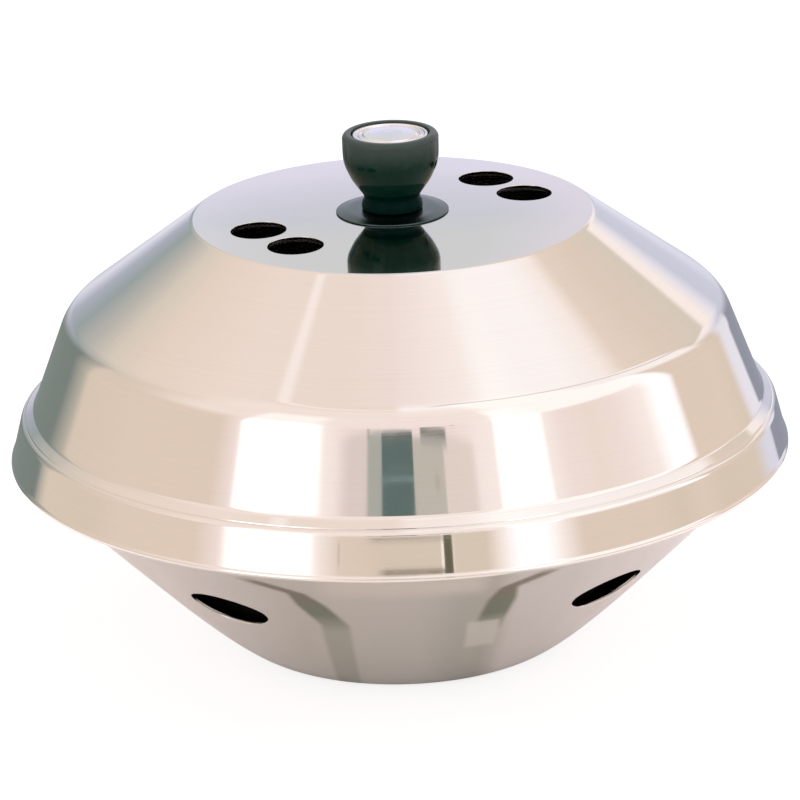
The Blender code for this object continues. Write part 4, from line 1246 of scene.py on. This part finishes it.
def hex_nut(corner_r, z0, z1, bore, n_bore=40):
    """A hexagon with its corners turned off at 30 degrees, and a chamfered bore."""
    verts = [(corner_r * MM * math.cos(math.pi * k / 3), corner_r * MM * math.sin(math.pi * k / 3), z) for z in (z0 * MM, z1 * MM) for k in range(6)]
    faces = [(5, 4, 3, 2, 1, 0), (6, 7, 8, 9, 10, 11)] + [(k, (k + 1) % 6, 6 + (k + 1) % 6, 6 + k) for k in range(6)]
    hexa = plain_mesh("hex", verts, faces)
    flat = corner_r * math.cos(math.pi / 6)
    drop = (corner_r + 0.3 - flat * 0.985) * math.tan(math.radians(30))
    barrel = turned_mesh(
        "barrel",
        closed(runs((0.0, z1), (flat * 0.985, z1), (corner_r + 0.3, z1 - drop), (corner_r + 0.3, z0 + drop), (flat * 0.985, z0), (0.0, z0))),
        72,
    )
    m = boolean(hexa, [barrel], "INTERSECT")
    bore_tool = turned_mesh(
        "bore",
        closed(
            runs(
                (0.0, z1 + 1), (bore + 1.6, z1 + 1), (bore + 0.6, z1), (bore, z1 - 0.6), (bore, z0 + 0.6), (bore + 0.6, z0),
                (bore + 1.6, z0 - 1), (0.0, z0 - 1),
            )
        ),
        n_bore,
    )
    return autosmooth(boolean(m, [bore_tool]), 28)


piece("damper_nut", hex_nut(7.5, 189.1, 194.7, 3.75), FASTENER)
for _i, _ang in enumerate((90.0, 210.0, 330.0), 1):
    _m = hex_nut(5.77, 3.7, 8.7, 3.35)
    _m.transform(Matrix.Translation(polar(32.0, _ang) * MM))
    piece(f"mount_nut_{_i}", _m, FASTENER)

simple_turned(
    "damper_washer_upper",
    [(4.9, 206.0), (10.0, 206.0, 0.25), (10.0, 205.0, 0.25), (4.9, 205.0)],
    FASTENER, n=80, step=15.0,
)
simple_turned(
    "damper_washer_lower",
    [(3.75, 196.2), (10.0, 196.2, 0.25), (10.0, 195.2, 0.25), (3.75, 195.2)],
    FASTENER, n=80, step=15.0,
)


def tube_mesh(points, radius, sides=12, cyclic=False, round_ends=False):
    """A round wire along points, in millimetres."""
    pts = [Vector(p) for p in points]
    if round_ends and not cyclic:
        a, b = (pts[1] - pts[0]).normalized(), (pts[-1] - pts[-2]).normalized()
        head = [(pts[0] + a * radius * (1 - math.cos(t)), math.sin(t)) for t in (0.25, 0.6, 1.0, 1.3)]
        tail = [(pts[-1] - b * radius * (1 - math.cos(t)), math.sin(t)) for t in (1.3, 1.0, 0.6, 0.25)]
        ring_pts = [h[0] for h in head] + pts[1:-1] + [t[0] for t in tail]
        scale = [h[1] for h in head] + [1.0] * (len(pts) - 2) + [t[1] for t in tail]
        if len(pts) == 2:
            ring_pts.insert(4, pts[0] + a * radius)
            scale.insert(4, 1.0)
            ring_pts.insert(5, pts[1] - b * radius)
            scale.insert(5, 1.0)
    else:
        ring_pts, scale = pts, [1.0] * len(pts)
    n = len(ring_pts)
    tang = []
    for i in range(n):
        p = ring_pts[(i - 1) % n] if cyclic or i > 0 else ring_pts[i]
        q = ring_pts[(i + 1) % n] if cyclic or i < n - 1 else ring_pts[i]
        tang.append((q - p).normalized())
    up = Vector((0, 0, 1)) if abs(tang[0].z) < 0.9 else Vector((1, 0, 0))
    side = tang[0].cross(up).normalized()
    verts = []
    for i in range(n):
        side = (side - tang[i] * side.dot(tang[i])).normalized()
        other = tang[i].cross(side)
        for k in range(sides):
            a = 2 * math.pi * k / sides
            v = ring_pts[i] + (side * math.cos(a) + other * math.sin(a)) * radius * scale[i]
            verts.append(v * MM)
    faces = []
    for i in range(n if cyclic else n - 1):
        j = (i + 1) % n
        for k in range(sides):
            k2 = (k + 1) % sides
            faces.append((i * sides + k, i * sides + k2, j * sides + k2, j * sides + k))
    if not cyclic:
        faces.append(tuple(reversed(range(sides))))
        faces.append(tuple((n - 1) * sides + k for k in range(sides)))
    return plain_mesh("tube", verts, faces)


_w, _top, _bot = 0.75, 205.0 - GAP - 0.75, 196.2 + GAP + 0.75
_pts = []
for _k in range(3 * 36 + 19):
    _t = _k / (3 * 36 + 18)
    _pts.append(polar(6.6, 360 * 3.5 * _t, _bot + (_top - _bot) * _t))
piece("damper_spring", autosmooth(tube_mesh(_pts, _w, 12), 40), FASTENER)

# base plate with a soft edge and three screw holes
_segs = closed(runs(*corners([(0.0, 3.35), (48.0, 3.35, 0.5), (48.0, 1.35, 0.5), (0.0, 1.35)], 15.0)))
_m = turned_mesh("base_plate_v", _segs, 128)
_m = boolean(_m, [cylinder_mesh(3.35, -4, 9, tuple(polar(32.0, a))[:2], 32) for a in (90.0, 210.0, 330.0)])
turned_normals(_m, _segs)
piece("base_plate", _m, DISC)


# ------------------------------------------------------------------ rivets
def rivet(node, matrix, grip_in, grip_out, head_r=3.4, shank_r=1.7, tail_r=2.9):
    dome = curve(
        lambda t: (head_r * math.sin(t * math.pi / 2) * 1.0, grip_out + 0.25 + 1.45 * math.cos(t * math.pi / 2)), 10
    )
    dome = [((max(p[0], 0.0), p[1]), n) for p, n in dome]
    segs = closed(
        runs(
            dome, (head_r, grip_out), (shank_r, grip_out), (shank_r, grip_in), (tail_r, grip_in),
            *corners([(tail_r, grip_in), (tail_r, grip_in - 1.1, 0.4), (0.0, grip_in - 1.1)], 20.0)[1:2],
            (0.0, grip_in - 1.1),
        )
    )
    m = turned_mesh(node + "_v", segs, 48)
    turned_normals(m, segs)
    m.transform(matrix)
    return piece(node, m, FASTENER)


cone_dir = Vector((SLOPE, 1.0)).normalized()
cone_out = Vector((cone_dir.y, -cone_dir.x))
cone2 = Vector((171.4 - 155.9, 121.0 - 161.8)).normalized()
cone2_out = Vector((-cone2.y, cone2.x))


def off_cone(z, off):
    p = Vector((cone_r(z), z)) + cone_out * off
    return (p.x, p.y)


def off_cone2(z, off):
    t = (z - 161.8) / (121.0 - 161.8)
    p = Vector((155.9 + (171.4 - 155.9) * t, z)) + cone2_out * off
    return (p.x, p.y)


for _tag, _z in (("upper", 82.0), ("lower", 70.0)):
    _p = off_cone(_z, 0.0)
    rivet(
        f"bowl_hinge_rivet_{_tag}",
        axis_frame((0, _p[0], _p[1]), (0, cone_out.x, cone_out.y), (1, 0, 0)), -SHEET - GAP, 2.0 + 2 * GAP,
    )
for _tag, _z in (("upper", 147.0), ("lower", 132.0)):
    _p = off_cone2(_z, 0.0)
    rivet(
        f"lid_hinge_rivet_{_tag}",
        axis_frame((0, _p[0], _p[1]), (0, cone2_out.x, cone2_out.y), (1, 0, 0)), -SHEET - GAP, 2.0 + 2 * GAP,
    )


# ------------------------------------------------------------------ flat strips and plates
YZ = Matrix(((0, 0, 1, 0), (1, 0, 0, 0), (0, 1, 0, 0), (0, 0, 0, 1)))


def fillet_2d(points, default=0.0, step=10.0):
    """A closed outline of (y, z[, radius]) corners with its corners rounded."""
    out = []
    n = len(points)
    for i, p in enumerate(points):
        rad = p[2] if len(p) > 2 else default
        if rad <= 0:
            out.append(tuple(p[:2]))
            continue
        pairs = fillet(points[i - 1][:2], p[:2], points[(i + 1) % n][:2], rad, step)
        out.extend(q for q, _ in pairs)
    return out


def plate(name, outline, x0, x1, holes=(), bevel=0.3, segments=3):
    data = bpy.data.curves.new(name, "CURVE")
    data.dimensions = "2D"
    data.fill_mode = "BOTH"
    data.extrude = abs(x1 - x0) / 2 * MM
    loops = [outline] + [
        [(y + r * math.cos(2 * math.pi * k / 48), z + r * math.sin(2 * math.pi * k / 48)) for k in range(48)]
        for y, z, r in holes
    ]
    for loop in loops:
        s = data.splines.new("POLY")
        s.points.add(len(loop) - 1)
        for p, (y, z) in zip(s.points, loop):
            p.co = (y * MM, z * MM, 0, 1)
        s.use_cyclic_u = True
    obj = bpy.data.objects.new(name, data)
    SCENE.collection.objects.link(obj)
    place = YZ.copy()
    place.translation = Vector(((x0 + x1) / 2 * MM, 0, 0))
    obj.matrix_world = place
    mesh = evaluated(obj)
    bm = bmesh.new()
    bm.from_mesh(mesh)
    bmesh.ops.remove_doubles(bm, verts=bm.verts, dist=0.000002)
    bmesh.ops.recalc_face_normals(bm, faces=bm.faces)
    bm.to_mesh(mesh)
    bm.free()
    if bevel:
        tmp = temp_object(mesh, name)
        b = tmp.modifiers.new("bevel", "BEVEL")
        b.width = bevel * MM
        b.segments = segments
        b.limit_method = "ANGLE"
        b.angle_limit = math.radians(50)
        b.harden_normals = False
        mesh = evaluated(tmp)
    return mesh


PIVOT = (195.0, 104.0)


def knuckle(a0, a1, r=6.0, n=28):
    return [
        (PIVOT[0] + r * math.cos(math.radians(a0 + (a1 - a0) * k / n)), PIVOT[1] + r * math.sin(math.radians(a0 + (a1 - a0) * k / n)))
        for k in range(n + 1)
    ]


strap = fillet_2d(
    [
        (*off_cone2(152.0, GAP + 2.0), 0.6), (*off_cone2(152.0, GAP), 0.4), (*off_cone2(124.5, GAP), 3.5), (181.0, 117.6, 4.0),
        (186.0, 109.5, 1.2),
    ]
    + [(*p, 0.0) for p in knuckle(185, 385)]
    + [(188.5, 113.5, 2.2), (183.5, 119.4, 5.0), (*off_cone2(126.5, GAP + 2.0), 5.0)]
)
piece(
    "lid_hinge_bracket",
    autosmooth(plate("strap", strap, -7.0, 7.0, holes=[(*PIVOT, 2.85)], bevel=0.35), 30),
    BRACKET_Z,
)

ear = fillet_2d(
    [
        (*off_cone(64.0, GAP), 0.3), (*off_cone(86.5, GAP), 2.0), (178.0, 89.0, 2.5), (187.5, 90.5, 3.0), (189.6, 99.0, 1.5),
    ]
    + [(*p, 0.0) for p in knuckle(170, -30)]
    + [(196.0, 90.0, 6.0), (182.0, 78.0, 10.0), (*off_cone(64.0, GAP + 2.2), 0.8)]
)
web = [off_cone(64.6, GAP + 0.02), off_cone(86.0, GAP + 0.02), off_cone(86.0, GAP + 2.0), off_cone(64.6, GAP + 2.0)]
_parts = [
    plate("ear_l", ear, -10.5, -8.0, holes=[(*PIVOT, 2.85)], bevel=0.35),
    plate("ear_r", ear, 8.0, 10.5, holes=[(*PIVOT, 2.85)], bevel=0.35),
    plate("web", web, -9.7, 9.7, bevel=0.25),
]
# inside corner of the bend between the web and each ear
for _side in (-1, 1):
    _a = Vector((0, *off_cone(65.2, GAP + 1.8)))
    _b = Vector((0, *off_cone(85.4, GAP + 1.8)))
    _x = _side * 7.75
    _parts.append(tube_mesh([(_x, _a.y, _a.z), (_x, _b.y, _b.z)], 0.85, 14, round_ends=True))
piece("bowl_hinge_bracket", autosmooth(joined("bowl_hinge_bracket_v", _parts), 30), BRACKET_Z)

# grate supports: L of strip with a bend radius
for _i, _az in enumerate((-90.0, 30.0, 150.0), 1):
    _leg = fillet_2d(
        [
            (158.0, 97.0, 0.4), (171.7, 97.0, 3.0), (171.7, 110.5, 0.4), (169.7, 110.5, 0.4), (169.7, 99.0, 1.2), (158.0, 99.0, 0.4),
        ]
    )
    _m = plate("support", _leg, -8.0, 8.0, bevel=0.35)
    _m.transform(Matrix.Rotation(math.radians(_az - 90), 4, "Z"))
    piece(f"grate_support_{_i}", autosmooth(_m, 30), BRACKET_Z)
    _out = polar(1.0, _az)
    rivet(
        f"support_rivet_{_i}",
        axis_frame(_out * 171.7 + Vector((0, 0, 106.0)), _out, (0, 0, 1)), -2.0 - GAP, 1.9 + GAP,
    )

# hinge pin along X, with a domed head and a clip in its groove
_pin = closed(
    runs(
        *corners(
            [
                (0.0, 15.0), (2.0, 15.0, 0.3), (2.5, 14.5, 0.2), (2.5, 13.0), (1.8, 13.0), (1.8, 11.6), (2.5, 11.6),
                (2.5, -10.85), (4.4, -10.85, 0.2), (4.4, -12.3, 0.5), (3.4, -13.0, 1.0), (0.0, -13.05),
            ],
            12.0,
        )
    )
)
_m = turned_mesh("hinge_pin_v", _pin, 48)
turned_normals(_m, _pin)
_m.transform(axis_frame((0, *PIVOT), (1, 0, 0), (0, 0, 1)))
piece("hinge_pin", _m, PIN_STEEL)

_clip = [
    (PIVOT[0] + 5.0 * math.cos(math.radians(t)), PIVOT[1] + 5.0 * math.sin(math.radians(t))) for t in range(-60, 241, 6)
] + [
    (PIVOT[0] + 2.15 * math.cos(math.radians(t)), PIVOT[1] + 2.15 * math.sin(math.radians(t))) for t in range(228, -49, -6)
]
piece("hinge_pin_clip", autosmooth(plate("clip", _clip, 11.95, 12.65, bevel=0.12, segments=2), 30), FASTENER)


# ------------------------------------------------------------------ grates
def blob(at, size, n=10):
    bm = bmesh.new()
    bmesh.ops.create_uvsphere(bm, u_segments=n, v_segments=6, radius=1.0)
    bmesh.ops.scale(bm, vec=[s * MM for s in size], verts=bm.verts)
    bmesh.ops.translate(bm, vec=[c * MM for c in at], verts=bm.verts)
    m = bpy.data.meshes.new("blob")
    bm.to_mesh(m)
    bm.free()
    return m


def grate(node, ring_r, ring_wire, z, bars, pitch, bar_wire, cross, material, sides):
    meshes = [
        tube_mesh([polar(ring_r, 360 * k / 160, z) for k in range(160)], ring_wire, sides, cyclic=True)
    ]
    top = z + ring_wire + bar_wire - 0.9
    for i in range(bars):
        x = (i - (bars - 1) / 2) * pitch
        y = math.sqrt(ring_r**2 - x * x) + ring_wire * 0.2
        meshes.append(tube_mesh([(x, -y, top), (x, y, top)], bar_wire, sides, round_ends=True))
        for s in (-1, 1):
            meshes.append(blob((x, s * (y - ring_wire * 0.2), z + ring_wire * 0.72), (bar_wire * 1.12, ring_wire * 0.95, 1.0)))
        for c in cross:
            if abs(c) < y - 3:
                meshes.append(blob((x, c, z + 0.35 + ring_wire * 0.6), (bar_wire * 1.08, ring_wire * 0.85, 0.9), 8))
    for c in cross:
        x = math.sqrt(ring_r**2 - c * c)
        meshes.append(tube_mesh([(-x, c, z + 0.35), (x, c, z + 0.35)], ring_wire * 0.86, sides, round_ends=True))
    piece(node, autosmooth(joined(node + "_v", meshes), 50), material)


grate("cooking_grate", 163.5, 2.5, 102.0, 19, 16.8, 1.9, (-75.0, 75.0), WIRE, 14)
grate("charcoal_grate", 114.0, 2.5, 50.0, 11, 19.0, 2.2, (-45.0, 45.0), CHARCOAL_WIRE, 14)
